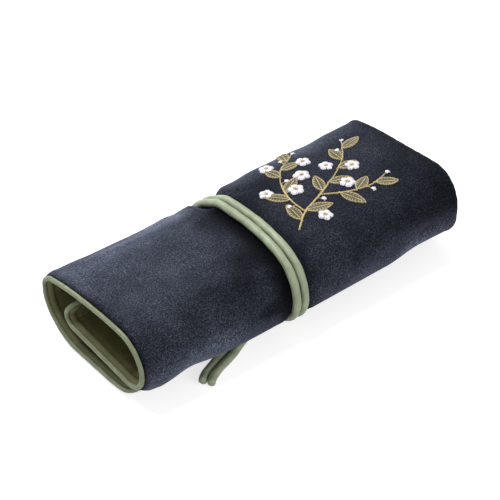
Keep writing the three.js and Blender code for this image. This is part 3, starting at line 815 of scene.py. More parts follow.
def gathers(x, s):
    """Lining that is pressed together in the bends lies in folds along the roll."""
    bending = np.clip((section(s + 0.5)[2] - section(s - 0.5)[2]) * 18, 0, 1)
    drift = 0.9 * np.sin(x / 17 + 1) + 0.5 * np.sin(x / 6.1)
    wide = 0.5 + 0.5 * np.sin(s / 1.05 + drift)
    narrow = 0.5 + 0.5 * np.sin(s / 0.62 - 1.4 * drift + 2)
    rippled = 0.5 + 0.5 * np.sin(s / 1.5 + x / 8)
    slack = 0.7 * bump(s - MARK["middle"] - 6, 11) * smoothstep(-x, 55, 100) * rippled
    return bending * (1.15 * wide * (0.6 + 0.4 * np.sin(x / 11 + s / 9)) + 0.4 * narrow) + slack


VELVET_TURN_IN = 1.5
VELVET_PINCH = 3.6
VELVET_PUFF = 0.55
LINING_TURN_IN = 1.9
LINING_PINCH = 2.4
WADDING_PINCH = 9


def velvet_depths(x, s):
    """The velvet puffs over the piping. At the rolled right end it turns in with the bend instead."""
    turn_in = VELVET_TURN_IN * (1 - 0.75 * smoothstep(x, 90, 108))
    puff = VELVET_PUFF * bump(edge_distance(x, s) - 4.6, 2.6)
    outer = turn_in * pinch(x, s, VELVET_PINCH) - puff - 0.7 * shown(s) * seam_ripple(x, s)
    return outer, outer * 0.4 + VELVET + 0.25 * pinch(x, s, VELVET_PINCH)


def lining_depths(x, s):
    """Beside the piping the seam allowance makes a low ridge, and a shallow furrow lies behind it."""
    from_edge = edge_distance(x, s)
    ridge = 0.3 * bump(from_edge - 2.4, 0.95) - 0.15 * bump(from_edge - 4.3, 1.2)
    turned_in = LINING_TURN_IN * pinch(x, s, LINING_PINCH)
    inner = MAT - turned_in + ridge + gathers(x, s) * smoothstep(from_edge, 2, 7) - 0.5 * seam_ripple(x, s)
    return inner - (MAT - LINING_DEPTH), inner


def wadding_depths(x, s):
    thin = pinch(x, s, WADDING_PINCH)
    return WADDING_DEPTH + 0.9 * thin, LINING_DEPTH - LAYER_GAP - 0.5 - 1.3 * thin


# Patches of painted light and shade on the velvet: place along the roll and in front of the back corner,
# reach both ways, and how much lighter (or, below 0, darker) the patch paints the velvet
PAINTED_LIGHT_AND_SHADE_PATCHES = [(-78, 25, 14, 9, -0.45), (-110, 53, 13, 15, -0.4), (-38, 7, 24, 6, 1.6), (60, 3, 60, 10, 2.6)]
PAINTED_LIGHT_AND_SHADE_PATCHES += [(102, 30, 16, 24, 1.3), (20, 28, 14, 14, -0.4), (-29, 73, 18, 20, -0.7), (-60, 87, 55, 14, -0.45)]
PAINTED_LIGHT_AND_SHADE_PATCHES += [(78, 94, 16, 9, -0.4), (-27, 109, 15, 5, -0.7), (-21, 32, 8, 16, -0.55), (-80, 115, 40, 8, 0.9)]
PAINTED_LIGHT_AND_SHADE_PATCHES += [(60, 113, 70, 8, 1.1), (110, 114, 12, 8, 1.5)]

# Painted sheen streaks along the low front of the right half: place and reach along the roll, place and reach
# across their slanting line, and how much lighter they paint the velvet
PAINTED_SHEEN_STREAKS = [(86, 20, 0, 3.4, 1.7), (40, 18, -1, 4, 0.7)]

# lowest factor of the painted light and shade, in the deepest painted shadow
DARKEST_PAINTED_SHADE = 0.03


def painted_velvet_light_and_shade(x, s):
    """Painted light and shade on the velvet, as a factor on its colour and sheen: a painted shadow along the
    tie, painted shade that gets darker towards the fuller end, and painted highlights along the back edge,
    the back crease and the low front.
    """
    from_tie = x - tie_over(section(s)[0])
    # painted shade: the velvet gets darker towards the fuller end
    painted_shade_towards_right = 0.55 * smoothstep(x, -30, 40) + 0.3 * smoothstep(x, 70, 110)
    # painted shadow along the tie, and a deeper painted shadow on the top just left of it
    painted_tie_shadow = 0.5 * bump(from_tie, 20) + 0.35 * bump(from_tie, 9)
    painted_shadow_left_of_tie = 0.85 * bump(from_tie + 8, 7) * smoothstep(s, MARK["top"] + 6, MARK["top"] + 18)
    tone = (1.15 - painted_shade_towards_right) * (1 - painted_tie_shadow) * (1 - painted_shadow_left_of_tie)
    # patches of painted light and shade
    for at_x, at_s, along, around, change in PAINTED_LIGHT_AND_SHADE_PATCHES:
        tone *= 1 + change * bump(x - at_x, along) * bump(s - S_BACK_CORNER - at_s, around)
    # slow waves of tone at random, and painted highlights on the crests of the folds
    tone_waves_and_fold_highlights = 0.1 * slow_waves(x * 1.7, s * 1.9) + 0.5 * np.clip(folds(x, s), 0, 1)
    # back paints a sheen highlight along the back edge of the left half; ridge paints a sheen line along the
    # crest of the back crease
    back = 0.8 * bump(s - S_BACK_CORNER - 16, 15) * smoothstep(-x, 30, 75)
    ridge = 1.2 * bump(back_crease(x, s), 2.2) * bump(x - CREASE_MIDDLE, 18)
    # painted sheen streaks along the low front
    painted_sheen_streaks = lumps(x, s - S_LOW - 1.5 + 0.05 * (x - 80), PAINTED_SHEEN_STREAKS)
    # painted shade in the groove where the velvet meets the piping
    painted_seam_shade = 0.75 * bump(edge_distance(x, s), 1.7)
    return np.clip((tone * (1 + tone_waves_and_fold_highlights) + back + ridge + painted_sheen_streaks) * (1 - painted_seam_shade), DARKEST_PAINTED_SHADE, None)


LAYERS = {
    "velvet": (velvet_depths, velvet, "velvet", GRID, FINE_GRID),
    "wadding": (wadding_depths, wadding, "wadding", 2 * GRID, 3 * FINE_GRID),
    "lining": (lining_depths, lining, "satin_lining", GRID, FINE_GRID),
}


def dress_part(piece, part):
    """Bakes the piece's place into its mesh, the same for the flap's pieces and the core's."""
    if part == "flap":
        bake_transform(piece)
    else:
        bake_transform(piece)


STRETCHES = {"flap": ("flap", "wall"), "core": ("core",)}
ENDS = {"flap": (0, S_SPLIT), "core": (S_SPLIT, S_END)}


def make_layer(layer, part):
    depths, material, slot, step, fine = LAYERS[layer]
    start, end = ENDS[part]
    x, s = mat_grid(start, end, step, fine)
    outside, inside = depths(x, s)
    uv = np.stack([x, s], -1)
    piece = shell(f"{layer}_{part}_cloth", surface(x, s, outside), surface(x, s, inside), uv, material)
    if layer == "velvet":
        # the velvet's pile attribute carries painted light and shade, which its material reads
        tone = piece.data.attributes.new("pile", "FLOAT", "POINT")
        tone.data.foreach_set("value", np.tile(painted_velvet_light_and_shade(x, s).ravel(), 2).astype(np.float32))
    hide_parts(*(f"{layer}_{stretch}" for stretch in STRETCHES[part]))
    dress_part(piece, part)


for layer in LAYERS:
    for part in ENDS:
        make_layer(layer, part)


# Piping: one tube round the edge of each piece of the mat
PIPING_RADIUS = 1.47  # pressed flat by the seam to less than its cut width
PIPING_OUT = 0.6  # of its middle, past the cloth's edge
PIPING_OUT_RIGHT = 1.3
PIPING_DEPTH = 2.7
PIPING_DEPTH_RIGHT = 3.2
PIPING_STEP = 1.5
PIPING_SIDES = 16
PIPING_STATIONS = 140  # along a long edge


def rim_line(split, edge):
    """Places along the mat's rim, from the left end round the edge to the right end."""
    toward = 1 if edge > split else -1
    near_corner = edge - toward * CORNER
    side = np.linspace(split, near_corner, max(4, round(abs(near_corner - split) / PIPING_STEP)))
    turn = np.linspace(0, QUARTER, 9)[1:-1]
    out = edge + toward * PIPING_OUT
    rise = near_corner + toward * (CORNER + PIPING_OUT) * np.sin(turn)
    left = LEFT_EDGE + CORNER - (CORNER + PIPING_OUT) * np.cos(turn)
    right = RIGHT_EDGE - CORNER + (CORNER + PIPING_OUT_RIGHT) * np.cos(turn)
    across = np.linspace(LEFT_EDGE + CORNER, RIGHT_EDGE - CORNER, PIPING_STATIONS)
    return np.array(
        [
            *((LEFT_EDGE - PIPING_OUT, s) for s in side),
            *zip(left, rise),
            *((x, out) for x in across),
            *zip(right[::-1], rise[::-1]),
            *((RIGHT_EDGE + PIPING_OUT_RIGHT, s) for s in side[::-1]),
        ]
    )


PIPED = {
    "flap": ("left_flap", "right_flap", "flap_edge", "left_wall", "right_wall"),
    "core": ("left_core", "right_core", "inner_edge"),
}


def make_piping(part, edge):
    x, s = rim_line(S_SPLIT, edge).T
    depth = PIPING_DEPTH + (PIPING_DEPTH_RIGHT - PIPING_DEPTH) * smoothstep(x, 98, RIGHT_EDGE)
    route = surface(x, s, depth)
    angle = corner_angles(PIPING_SIDES)
    far = np.arange(len(route))[:, None] * PIPING_STEP
    wrinkled = 1 + 0.022 * np.sin(far / 1.9 + angle) + 0.015 * np.sin(far / 0.9 - 2 * angle)
    piece = tube(f"piping_{part}_cord", route, PIPING_RADIUS * wrinkled, PIPING_SIDES, piping)
    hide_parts(*(f"piping_{name}" for name in PIPED[part]))
    dress_part(piece, part)


make_piping("flap", 0)
make_piping("core", S_END)


# Sewn tab under the flap, which holds the fold of the tie
SLEEVE_LINE = [(-25, 1.0), (-29.5, 1.5), (-32.6, 4.4), (-34.2, 6.6), (-36.2, 7.3)]  # y and z
SLEEVE_STEP = 0.7
SLEEVE_SIDES = 28
TONGUE_HALF = 0.6  # half the thickness of the flat tongue
SLEEVE_ROOM = 0.3
SLEEVE_SQUARE = 0.6  # 1 would make the sleeve's section an ellipse, and less makes it squarer


def make_tab():
    """A short satin sleeve round the ends of both strands, with a flat tongue that is sewn under the flap."""
    line = smooth_line(SLEEVE_LINE, SLEEVE_STEP)
    ahead = directions(line)
    opened = smoothstep(np.linspace(0, 1, len(line)), 0.5, 0.72)[:, None]
    half_width = (TIE_PITCH + TIE) / 2 + 0.35
    angle = corner_angles(SLEEVE_SIDES)
    sideways, up = (np.sign(v) * np.abs(v) ** SLEEVE_SQUARE for v in (np.cos(angle), np.sin(angle)))
    across = half_width * sideways
    rise = (TONGUE_HALF + (TIE / 2 + SLEEVE_ROOM) * opened) * up
    y = line[:, :1] - ahead[:, 1:] * rise
    z = line[:, 1:] + ahead[:, :1] * rise
    points = np.stack([TIE_FRONT + across + 0 * rise, y, z], -1).reshape(-1, 3)
    faces = ring_faces(len(line), SLEEVE_SIDES)
    piece = make_object("tie_tab_sleeve", points, faces, tie_satin, points[:, :2])
    face_outwards(piece)
    fit(piece, "tie_tab", "flap")


make_tab()

# Zip pocket under the top. Its cloth hangs straight between the edges that are sewn to the lining.
POCKET_REAR = 35
POCKET_FRONT = -9
POCKET_HEM = 4
POCKET_ROOM = 2.6
POCKET_CLOTH = 0.6
ZIP_LINE = 4.5
COIL_WIDTH = 1.6
TAPE_WIDTH = 5.5
ZIP_INSET = 3.1
SEWN_DEPTH = MAT + LAYER_GAP
HANG_DEPTH = MAT + POCKET_ROOM
TAPE_REAR = LAYER_GAP / 2 + COIL_WIDTH + LAYER_GAP
CLOTH_FRONT = ZIP_LINE + TAPE_REAR + TAPE_WIDTH + LAYER_GAP
POCKET_HALF = CLOTH_HALF - 0.5
POCKET_GRID = 1.1
POCKET_COLUMNS = 150
PUCKER = 0.12  # of sewn-down cloth along its seam


def under_top(x, y, depth, hanging):
    """Places under the top: on the pressed lining where sewn, straight along the roll where hanging."""
    s = on_top(y)
    place_y, place_z, heading = section(s)
    at_y = place_y - depth * np.sin(heading)
    at_z = place_z + depth * np.cos(heading)
    straight = np.stack([x + 0 * at_y, at_y + 0 * x, fuller(x, at_z)], -1)
    share = (hanging + 0 * x)[..., None]
    return surface(x, s + 0 * x, depth + 0 * x) * (1 - share) + straight * share


def pocket_sheet(name, node, rows, material, sag=0.0):
    """A sheet under the top. rows are (y, depth, hanging) from the back to the front."""
    marks = np.array(rows, float)
    count = max(5, round((marks[0, 0] - marks[-1, 0]) / POCKET_GRID) + 1)
    y = np.linspace(marks[0, 0], marks[-1, 0], count)
    depth = np.interp(-y, -marks[:, 0], marks[:, 1])[:, None]
    hanging = np.interp(-y, -marks[:, 0], marks[:, 2])[:, None]
    x = np.linspace(-POCKET_HALF, POCKET_HALF, POCKET_COLUMNS)[None, :] + 0 * depth
    y = y[:, None] + 0 * x
    slack = sag * hanging * (0.5 + 0.5 * np.sin(x / 15 + y / 6))
    shaped = depth + slack + PUCKER * (1 - hanging) * np.sin(x / 1.1)
    outer = under_top(x, y, shaped, hanging)
    inner = under_top(x, y, shaped + POCKET_CLOTH, hanging)
    piece = shell(name, outer, inner, np.stack([x, y], -1), material)
    fit(piece, node, "core")
    return piece


rear_rows = [
    (POCKET_REAR, SEWN_DEPTH, 0),
    (POCKET_REAR - POCKET_HEM, SEWN_DEPTH, 0),
    (POCKET_REAR - 2 * POCKET_HEM, HANG_DEPTH, 1),
    (CLOTH_FRONT, HANG_DEPTH, 1),
]
front_tape = ZIP_LINE - TAPE_REAR
front_rows = [
    (front_tape, HANG_DEPTH, 1),
    (front_tape - TAPE_WIDTH, HANG_DEPTH, 1),
    (POCKET_FRONT + POCKET_HEM, SEWN_DEPTH, 0),
    (POCKET_FRONT, SEWN_DEPTH, 0),
]
tape_rows = [(ZIP_LINE + TAPE_REAR + TAPE_WIDTH, HANG_DEPTH, 1), (ZIP_LINE + TAPE_REAR, HANG_DEPTH, 1)]
pocket = pocket_sheet("zip_pocket_cloth", "pocket_cloth", rear_rows, lining, sag=0.7)
near_tape = pocket_sheet("front_zip_tape", "zip_tape_front", front_rows, tape)
pocket_sheet("rear_zip_tape", "zip_tape_rear", tape_rows, tape)


# Geometry Nodes: threads and zip coils
THREAD_SIDES = 5
COIL_STEPS = 9  # places on each turn of a coil


def new_tree(name, **inputs):
    """A Geometry Nodes tree with named inputs beside its geometry."""
    tree = bpy.data.node_groups.new(name, "GeometryNodeTree")
    tree.interface.new_socket("Geometry", in_out="INPUT", socket_type="NodeSocketGeometry")
    tree.interface.new_socket("Geometry", in_out="OUTPUT", socket_type="NodeSocketGeometry")
    for label, kind in inputs.items():
        tree.interface.new_socket(label.replace("_", " "), in_out="INPUT", socket_type=kind)
    return tree, add_node(tree, "NodeGroupInput").outputs


def finish_tree(tree, line, ring, material):
    """A thread along the line, with this ring as its section, as real geometry with smooth faces."""
    around = add_node(tree, "GeometryNodeCurvePrimitiveCircle", ring).outputs[0]
    settings = {"Curve": line, "Profile Curve": around, "Fill Caps": True}
    thread = add_node(tree, "GeometryNodeCurveToMesh", settings).outputs[0]
    smooth = add_node(tree, "GeometryNodeSetShadeSmooth", {"Geometry": thread}).outputs[0]
    real = add_node(tree, "GeometryNodeRealizeInstances", {0: smooth}).outputs[0]
    dressed = add_node(tree, "GeometryNodeSetMaterial", {"Geometry": real, "Material": material}).outputs[0]
    add_node(tree, "NodeGroupOutput", {"Geometry": dressed})


def thread_tree():
    """Turns lines of points into threads."""
    tree, given = new_tree("threads", Thread_radius="NodeSocketFloat", Material="NodeSocketMaterial")
    line = add_node(tree, "GeometryNodeMeshToCurve", {"Mesh": given["Geometry"]}).outputs[0]
    ring = {"Resolution": THREAD_SIDES, "Radius": given["Thread radius"]}
    finish_tree(tree, line, ring, given["Material"])
    return tree


def coil_tree():
    """A nylon thread wound in a helix along Z."""
    tree, given = new_tree(
        "zip_coil",
        Turns="NodeSocketFloat",
        Coil_radius="NodeSocketFloat",
        Thread_radius="NodeSocketFloat",
        Length="NodeSocketFloat",
        Material="NodeSocketMaterial",
    )
    shape = {
        "Resolution": COIL_STEPS,
        "Rotations": given["Turns"],
        "Start Radius": given["Coil radius"],
        "End Radius": given["Coil radius"],
        "Height": given["Length"],
    }
    helix = add_node(tree, "GeometryNodeCurveSpiral", shape).outputs[0]
    ring = {"Resolution": THREAD_SIDES, "Radius": given["Thread radius"]}
    finish_tree(tree, helix, ring, given["Material"])
    return tree


def grown(name, mesh, tree, **inputs):
    """The plain object that a tree makes of a mesh."""
    thing = new_object(name, mesh)
    modifier = thing.modifiers.new("grown", "NODES")
    modifier.node_group = tree
    for socket in tree.interface.items_tree:
        label = socket.name.replace(" ", "_")
        if socket.in_out == "INPUT" and label in inputs:
            modifier[socket.identifier] = inputs[label]
    view = bpy.context.evaluated_depsgraph_get()
    plain = bpy.data.meshes.new_from_object(thing.evaluated_get(view))
    thing.modifiers.remove(modifier)
    thing.data = plain
    return thing


THREADS = thread_tree()
COILS = coil_tree()


def sew(name, lines, radius, material, body):
    """Threads along lines of places in millimetres, all with as many points."""
    lines = np.asarray(lines)
    count, points, _ = lines.shape
    first = np.arange(count)[:, None] * points + np.arange(points - 1)
    edges = np.stack([first.ravel(), first.ravel() + 1], 1)
    mesh = bpy.data.meshes.new(name)
    mesh.from_pydata((lines.reshape(-1, 3) * MM).tolist(), edges.tolist(), [])
    piece = grown(name, mesh, THREADS, Thread_radius=radius * MM, Material=material)
    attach(piece, body)


# Coils of the zip, each on its own tape's edge
COIL_THREAD = 0.25
COIL_PITCH = 1.3
COIL_DEPTH = HANG_DEPTH + POCKET_CLOTH / 2
ZIP_HALF = CLOTH_HALF - ZIP_INSET


def make_coil(name, node, side):
    length = 2 * ZIP_HALF
    y = ZIP_LINE + side * (LAYER_GAP / 2 + COIL_WIDTH / 2)
    sizes = {
        "Turns": length / COIL_PITCH,
        "Coil_radius": (COIL_WIDTH / 2 - COIL_THREAD) * MM,
        "Thread_radius": COIL_THREAD * MM,
        "Length": length * MM,
        "Material": nylon,
    }
    piece = grown(name, bpy.data.meshes.new(name), COILS, **sizes)
    left, right = (under_top(np.array(x), np.array(y), COIL_DEPTH, 1.0) * MM for x in (-ZIP_HALF, ZIP_HALF))
    turn = Vector(right - left).to_track_quat("Z", "Y").to_matrix().to_4x4()
    piece.data.transform(Matrix.Translation(Vector(left)) @ turn)
    fit(piece, node, "core")


make_coil("rear_coil_helix", "zip_coil_rear", 1)
make_coil("front_coil_helix", "zip_coil_front", -1)

# Slip pocket on the lining of the flap
SLIP_INSET = 27.1
SLIP_HALF = CLOTH_HALF - SLIP_INSET
SLIP_FIRST = MARK["lip"] + LIP_RADIUS * LIP_TURN * 2 / 3
SLIP_LAST = MARK["back"]
SLIP_COLUMNS = 130
SLIP_ROWS = 40
SLIP_WAVE = 0.9  # how far its open edge stands off the lining
HEM_WIDTH = 4
HEM_HEIGHT = 0.35


def make_slip_pocket():
    """Lining satin sewn down on three sides, with a rolled hem along its open front edge."""
    across = np.linspace(-SLIP_HALF, SLIP_HALF, SLIP_COLUMNS)
    x, s = np.meshgrid(across, np.linspace(SLIP_FIRST, SLIP_LAST, SLIP_ROWS))
    from_mouth = s - SLIP_FIRST
    from_side = SLIP_HALF - np.abs(x)
    loose = smoothstep(from_side, 0, 22) * (1 - smoothstep(from_mouth, 6, 26))
    wave = SLIP_WAVE * loose * (0.6 + 0.4 * np.sin(x / 12 + 1))
    hem = HEM_HEIGHT * bump(from_mouth - HEM_WIDTH / 2, HEM_WIDTH / 2.4)
    near_seam = np.exp(-np.minimum(from_side, SLIP_LAST - s) / 3)
    depth = SEWN_DEPTH + wave + hem + PUCKER * near_seam * np.sin((x + s) / 0.9)
    shape = surface(x, s, depth), surface(x, s, depth + POCKET_CLOTH)
    piece = shell("slip_pocket_cloth", *shape, np.stack([x, s], -1), lining)
    fit(piece, "slip_pocket", "flap")


make_slip_pocket()

# Seams of both pockets, in running stitches
SEWN_STITCH = 2.6
SEWN_GAP = 0.9
SEWN_RADIUS = 0.2
SEWN_RISE = 0.25
SEAM_DEPTH = SEWN_DEPTH + POCKET_CLOTH + 0.05
SLIP_SEAM = 1.5  # from the cloth's edge
POCKET_SEAM = 2
SEAM_END = POCKET_HALF - 2


def running_stitches(place, start, end):
    """Arched lines along place(t, height), t in millimetres."""
    lines = []
    for first in np.arange(start, end - SEWN_STITCH, SEWN_STITCH + SEWN_GAP):
        t = first + SEWN_STITCH * np.array([0, 0.2, 0.5, 0.8, 1.0])
        lines.append(place(t, SEWN_RISE * np.array([-1.4, 0.6, 1.0, 0.6, -1.4])))
    return lines


def on_slip(x, s, height):
    return surface(x + 0 * s, s + 0 * x, SEAM_DEPTH + height)


slip_seam = [
    *running_stitches(lambda t, h: on_slip(SLIP_SEAM - SLIP_HALF, t, h), SLIP_FIRST + 1, SLIP_LAST - 1),
    *running_stitches(lambda t, h: on_slip(SLIP_HALF - SLIP_SEAM, t, h), SLIP_FIRST + 1, SLIP_LAST - 1),
    *running_stitches(lambda t, h: on_slip(t, SLIP_LAST - SLIP_SEAM, h), -SLIP_HALF + 2, SLIP_HALF - 2),
]
sew("slip_pocket_stitches", slip_seam, SEWN_RADIUS, sewing_thread, "flap")


def on_pocket(x, y, height):
    return under_top(x, y + 0 * x, SEAM_DEPTH + height, 0.0)


pocket_seam = [
    *running_stitches(lambda t, h: on_pocket(t, POCKET_REAR - POCKET_SEAM, h), -SEAM_END, SEAM_END),
    *running_stitches(lambda t, h: on_pocket(t, POCKET_FRONT + POCKET_SEAM, h), -SEAM_END, SEAM_END),
]
sew("zip_pocket_stitches", pocket_seam, SEWN_RADIUS, sewing_thread, "core")

# Ring bolster along the lining of the back, sewn on at its right end and snapped on at its left end
LINING_RADIUS = BACK_RADIUS - MAT
BEND_CENTRE = HALF_WIDTH - BACK_RADIUS
BOLSTER = 11
BOLSTER_INSET = 31.1
BOLSTER_DROP = 22.5
BOLSTER_ROOM = 2.3
BOLSTER_HALF = CLOTH_HALF - BOLSTER_INSET
BOLSTER_HEIGHT = ROLL_HEIGHT - BOLSTER_DROP
BOLSTER_REACH = LINING_RADIUS - BOLSTER_ROOM - BOLSTER / 2
BOLSTER_BACK = BEND_CENTRE + math.sqrt(BOLSTER_REACH**2 - (BACK_RADIUS - BOLSTER_HEIGHT) ** 2)
BOLSTER_END = 4.5
BOLSTER_SIDES = 48
PLEATS = 12
PLEAT_ROOM = 0.2


def make_bolster():
    """A satin tube, stuffed firm, whose ends are gathered in small pleats and sewn together."""
    end = BOLSTER_HALF - BOLSTER_END * (1 - np.cos(np.linspace(QUARTER, 0.1, 10)))
    x = np.concatenate([-end[::-1], np.linspace(-end[0], end[0], 110)[1:-1], end])
    into = np.clip((BOLSTER_END - (BOLSTER_HALF - np.abs(x))) / BOLSTER_END, 0, 1)[:, None]
    angle = corner_angles(BOLSTER_SIDES)
    near_end = np.exp(-(BOLSTER_HALF - np.abs(x))[:, None] / 6)
    pleats = 1 + 0.05 * near_end * np.cos(PLEATS * angle) + 0.012 * np.sin(x[:, None] / 5 + 2 * angle)
    soft = 1 + 0.02 * np.sin(x[:, None] / 9 + 1) - 0.02 * bump(angle - 4.7, 0.12)
    rounded = np.sqrt(np.clip(1 - into**2, 0.02, 1))
    radius = (BOLSTER / 2 - PLEAT_ROOM) * rounded * pleats * soft
    route = np.stack([x, np.full(len(x), BOLSTER_BACK), fuller(x, BOLSTER_HEIGHT)], 1)
    piece = tube("ring_bolster_cover", route, radius, BOLSTER_SIDES, piping)
    fit(piece, "ring_bolster", "back_wall")


make_bolster()

STUD_THICKNESS = 1.5
TAB_RAISE = 3
TAB_WIDTH = 9
TAB_THICKNESS = 1
TAB_STEP = 0.6
TAB_ROWS = 19
TAB_HIDDEN = 0.6  # of the tab, inside the bolster's end
TAB_BRIDGE = 8  # from the bolster to where the tab lies on the lining
TAB_PATCH = 11  # that lies there
TAB_POINT = 3  # over which its tip is rounded


def lining_back(x, z):
    below = min(0, z / fuller(x, 1) - BACK_RADIUS)
    return BEND_CENTRE + math.sqrt(LINING_RADIUS**2 - below**2)


def bolster_tab(name, node, side, stand):
    """A folded satin tab on edge, from the bolster's end to the lining."""
    start = BOLSTER_HALF - TAB_HIDDEN
    patch = BOLSTER_HALF + LAYER_GAP + TAB_BRIDGE
    middle = fuller(side * patch, BOLSTER_HEIGHT + TAB_RAISE)
    behind = lining_back(side * (patch + TAB_PATCH), middle - TAB_WIDTH / 2)
    back = behind - LAYER_GAP - stand - TAB_THICKNESS / 2
    plan = [(start, BOLSTER_BACK), (start + 3, BOLSTER_BACK)]
    plan += [(patch + far, back) for far in (0, 5, TAB_PATCH)]
    line = smooth_line([(side * x, y) for x, y in plan], TAB_STEP)
    ahead = directions(line)
    out = side * np.stack([-ahead[:, 1], ahead[:, 0]], 1)
    height = np.linspace(-0.5, 0.5, TAB_ROWS)
    from_end = np.linalg.norm(line - line[-1], axis=1)[:, None]
    round_end = np.sqrt(np.clip(1 - np.clip(1 - from_end / TAB_POINT, 0, 1) ** 2, 0.05, 1))
    z = middle + TAB_WIDTH * height * (0.72 + 0.28 * round_end)
    edge_on = 0.45 + 0.55 * np.sqrt(1 - (2 * height) ** 2 + 1e-9)
    thick = TAB_THICKNESS / 2 * edge_on + 0 * from_end
    faces = []
    for sign in (1, -1):
        plan_y = line[:, 1:] + sign * out[:, 1:] * thick
        plan_x = line[:, :1] + sign * out[:, :1] * thick
        faces.append(np.stack([plan_x, plan_y, z + 0 * plan_x], -1))
    uv = np.stack([TAB_STEP * np.arange(1, len(line) + 1)[:, None] + 0 * z, z], -1)
    piece = shell(name, *faces, uv, piping)
    face_outwards(piece)
    fit(piece, node, "back_wall")


bolster_tab("bolster_sewn_tongue", "bolster_sewn_tab", 1, 0)
bolster_tab("bolster_snap_tongue", "bolster_snap_tab", -1, STUD_THICKNESS + LAYER_GAP)

# Embroidery on the top, in plan: a garland of almond leaves, five-petalled blossoms and buds
THREAD = 0.26
STITCH_SHARE = np.array([0, 0.18, 0.5, 0.82, 1.0])
STITCH_ARCH = np.array([-0.9, 0.75, 1.0, 0.75, -0.9])
STITCH_LIFT = 0.15  # over the velvet
LEAF_LENGTH = 15
LEAF_WIDTH = 6.8
LEAF_ANGLE = 0.75  # radians between a leaf and its stem
LEAF_STITCH = 0.46  # from one stitch of a leaf to the next
BUD_SIZE = 3.6
BUD_STALK = 2.5
PETALS = 5
KNOTS = 7
KNOT_REACH = 0.42


def stitches(pairs, peak, uneven):
    """Arched lines over the velvet between pairs of places on the top, their ends uneven by this much."""
    chance = np.random.default_rng(11)
    pairs = np.asarray(pairs, float)
    pairs = pairs + uneven * chance.uniform(-1, 1, pairs.shape)
    plan = pairs[:, :1] * (1 - STITCH_SHARE[:, None]) + pairs[:, 1:] * STITCH_SHARE[:, None]
    x, y = plan[..., 0], plan[..., 1]
    return surface(x, on_top(y), -STITCH_LIFT - peak * STITCH_ARCH + 0 * x)


def arrow(heading, length=1.0):
    return length * np.array([math.cos(heading), math.sin(heading)])


def left_of(vector):
    return np.array([-vector[1], vector[0]])


def stem_stitches(line, length=2.4, aside=0.22):
    """Short stitches that overlap along a line, slightly aslant."""
    line = np.asarray(line)
    far = travelled(line)
    pairs = []
    for start in np.arange(0, far[-1] - 0.6 * length, 0.62 * length):
        a, b = (np.array([np.interp(t, far, line[:, k]) for k in (0, 1)]) for t in (start, start + length))
        across = left_of(b - a) / max(np.linalg.norm(b - a), 1e-6)
        pairs.append((a - aside * across, b + aside * across))
    return pairs


def leaf(base, heading, length, width):
    """Fill of slanting satin stitches on both sides of a rib, and the rib and outline."""
    base = np.asarray(base, float)
    ahead = arrow(heading)
    aside = left_of(ahead)
    fill, outline, edge_lines = [], [], []
    for side in (-1, 1):
        edge = []
        for k, share in enumerate(np.linspace(0.02, 0.97, round(length / LEAF_STITCH))):
            spread = side * width / 2 * math.sin(math.pi * share**0.85) ** 0.8
            rib = base + ahead * length * max(share - 0.09, 0)
            tip = base + ahead * length * share + aside * spread
            fill.append((rib, tip))
            if k % 4 == 1:
                outline.append((0.55 * rib + 0.45 * tip, tip))
            edge.append(tip)
        edge_lines.append([base, *edge, base + ahead * length])
    for edge in edge_lines:
        outline += stem_stitches(edge, 2.1, 0.1)
    rib_line = [base - ahead * 1.5, base + ahead * length * 0.5, base + ahead * length * 0.9]
    return fill, outline + stem_stitches(rib_line, 2.2, 0.15)


def petal(centre, heading, size):
    """A fan of satin stitches from the middle of a blossom."""
    fan = []
    for step in np.linspace(-1, 1, 11):
        near = centre + arrow(heading + 0.45 * step, 0.2 * size)
        far = centre + arrow(heading + 0.52 * step, size * (1 - 0.2 * step * step))
        fan.append((near, far))
    return fan


def blossom(centre, size, turn):
    """Petals, and the knots of thread in their middle."""
    centre = np.asarray(centre, float)
    white, gold = [], []
    for k in range(PETALS):
        white += petal(centre, turn + FULL_TURN * k / PETALS, size)
    for k in range(KNOTS):
        knot = centre + (arrow(2.4 * k, 0.16 * size) if k else 0)
        reach = arrow(1.3 * k, KNOT_REACH)
        gold.append((knot - reach, knot + reach))
    return white, gold


def bud(base, heading, size):
    """Petals that are still closed, and three sepals."""
    ahead = arrow(heading)
    aside = left_of(ahead)
    white, green = [], []
    for step in np.linspace(-1, 1, 6):
        start = base + 0.4 * ahead + 0.25 * step * aside
        tip = base + size * (1 - 0.25 * step * step) * ahead + 0.42 * size * step * aside
        white.append((start, tip))
    for side in (-1, 0, 1):
        green.append((base - 0.8 * ahead, base + arrow(heading + 0.6 * side, 1.3)))
    return white, green


STEMS = {
    "main": [(13, -24), (26, -14), (43, -7), (62, 2), (79, 14), (90, 27)],
    "back": [(26, -14), (27, 1), (33, 16), (44, 29), (59, 38)],
    "front": [(43, -7), (57, -15), (72, -19), (86, -16)],
}
# Stem, place along it from 0 to 1 and side of each leaf
LEAVES = [("main", 0.1, 1), ("main", 0.2, -1), ("back", 0.22, 1), ("back", 0.34, -1), ("back", 0.6, 1)]
LEAVES += [("back", 0.72, -1), ("back", 0.9, 1), ("main", 0.42, 1), ("main", 0.52, -1), ("front", 0.28, -1)]
LEAVES += [("front", 0.5, 1), ("main", 0.7, -1), ("main", 0.8, 1), ("front", 0.8, -1), ("main", 0.93, -1)]

# Place and size of each blossom
BLOSSOMS = [((36, 6), 5.2), ((21, 15), 4.6), ((48, 15), 5.4), ((39, 37), 4.8), ((59, 27), 4.9)]
BLOSSOMS += [((66, 14), 4.6), ((64, -8), 5.2), ((78, 4), 4.8), ((34, -23), 4.6)]

# Stem, place along it and turn of each bud
BUDS = [("back", 0.98, 0.0), ("back", 0.84, 0.9), ("main", 0.98, 0.0), ("main", 0.88, 0.9)]
BUDS += [("front", 0.97, 0.0), ("front", 0.64, -1.0), ("main", 0.33, -1.1), ("back", 0.12, 1.2)]
BUDS += [("back", 0.48, -1.0)]


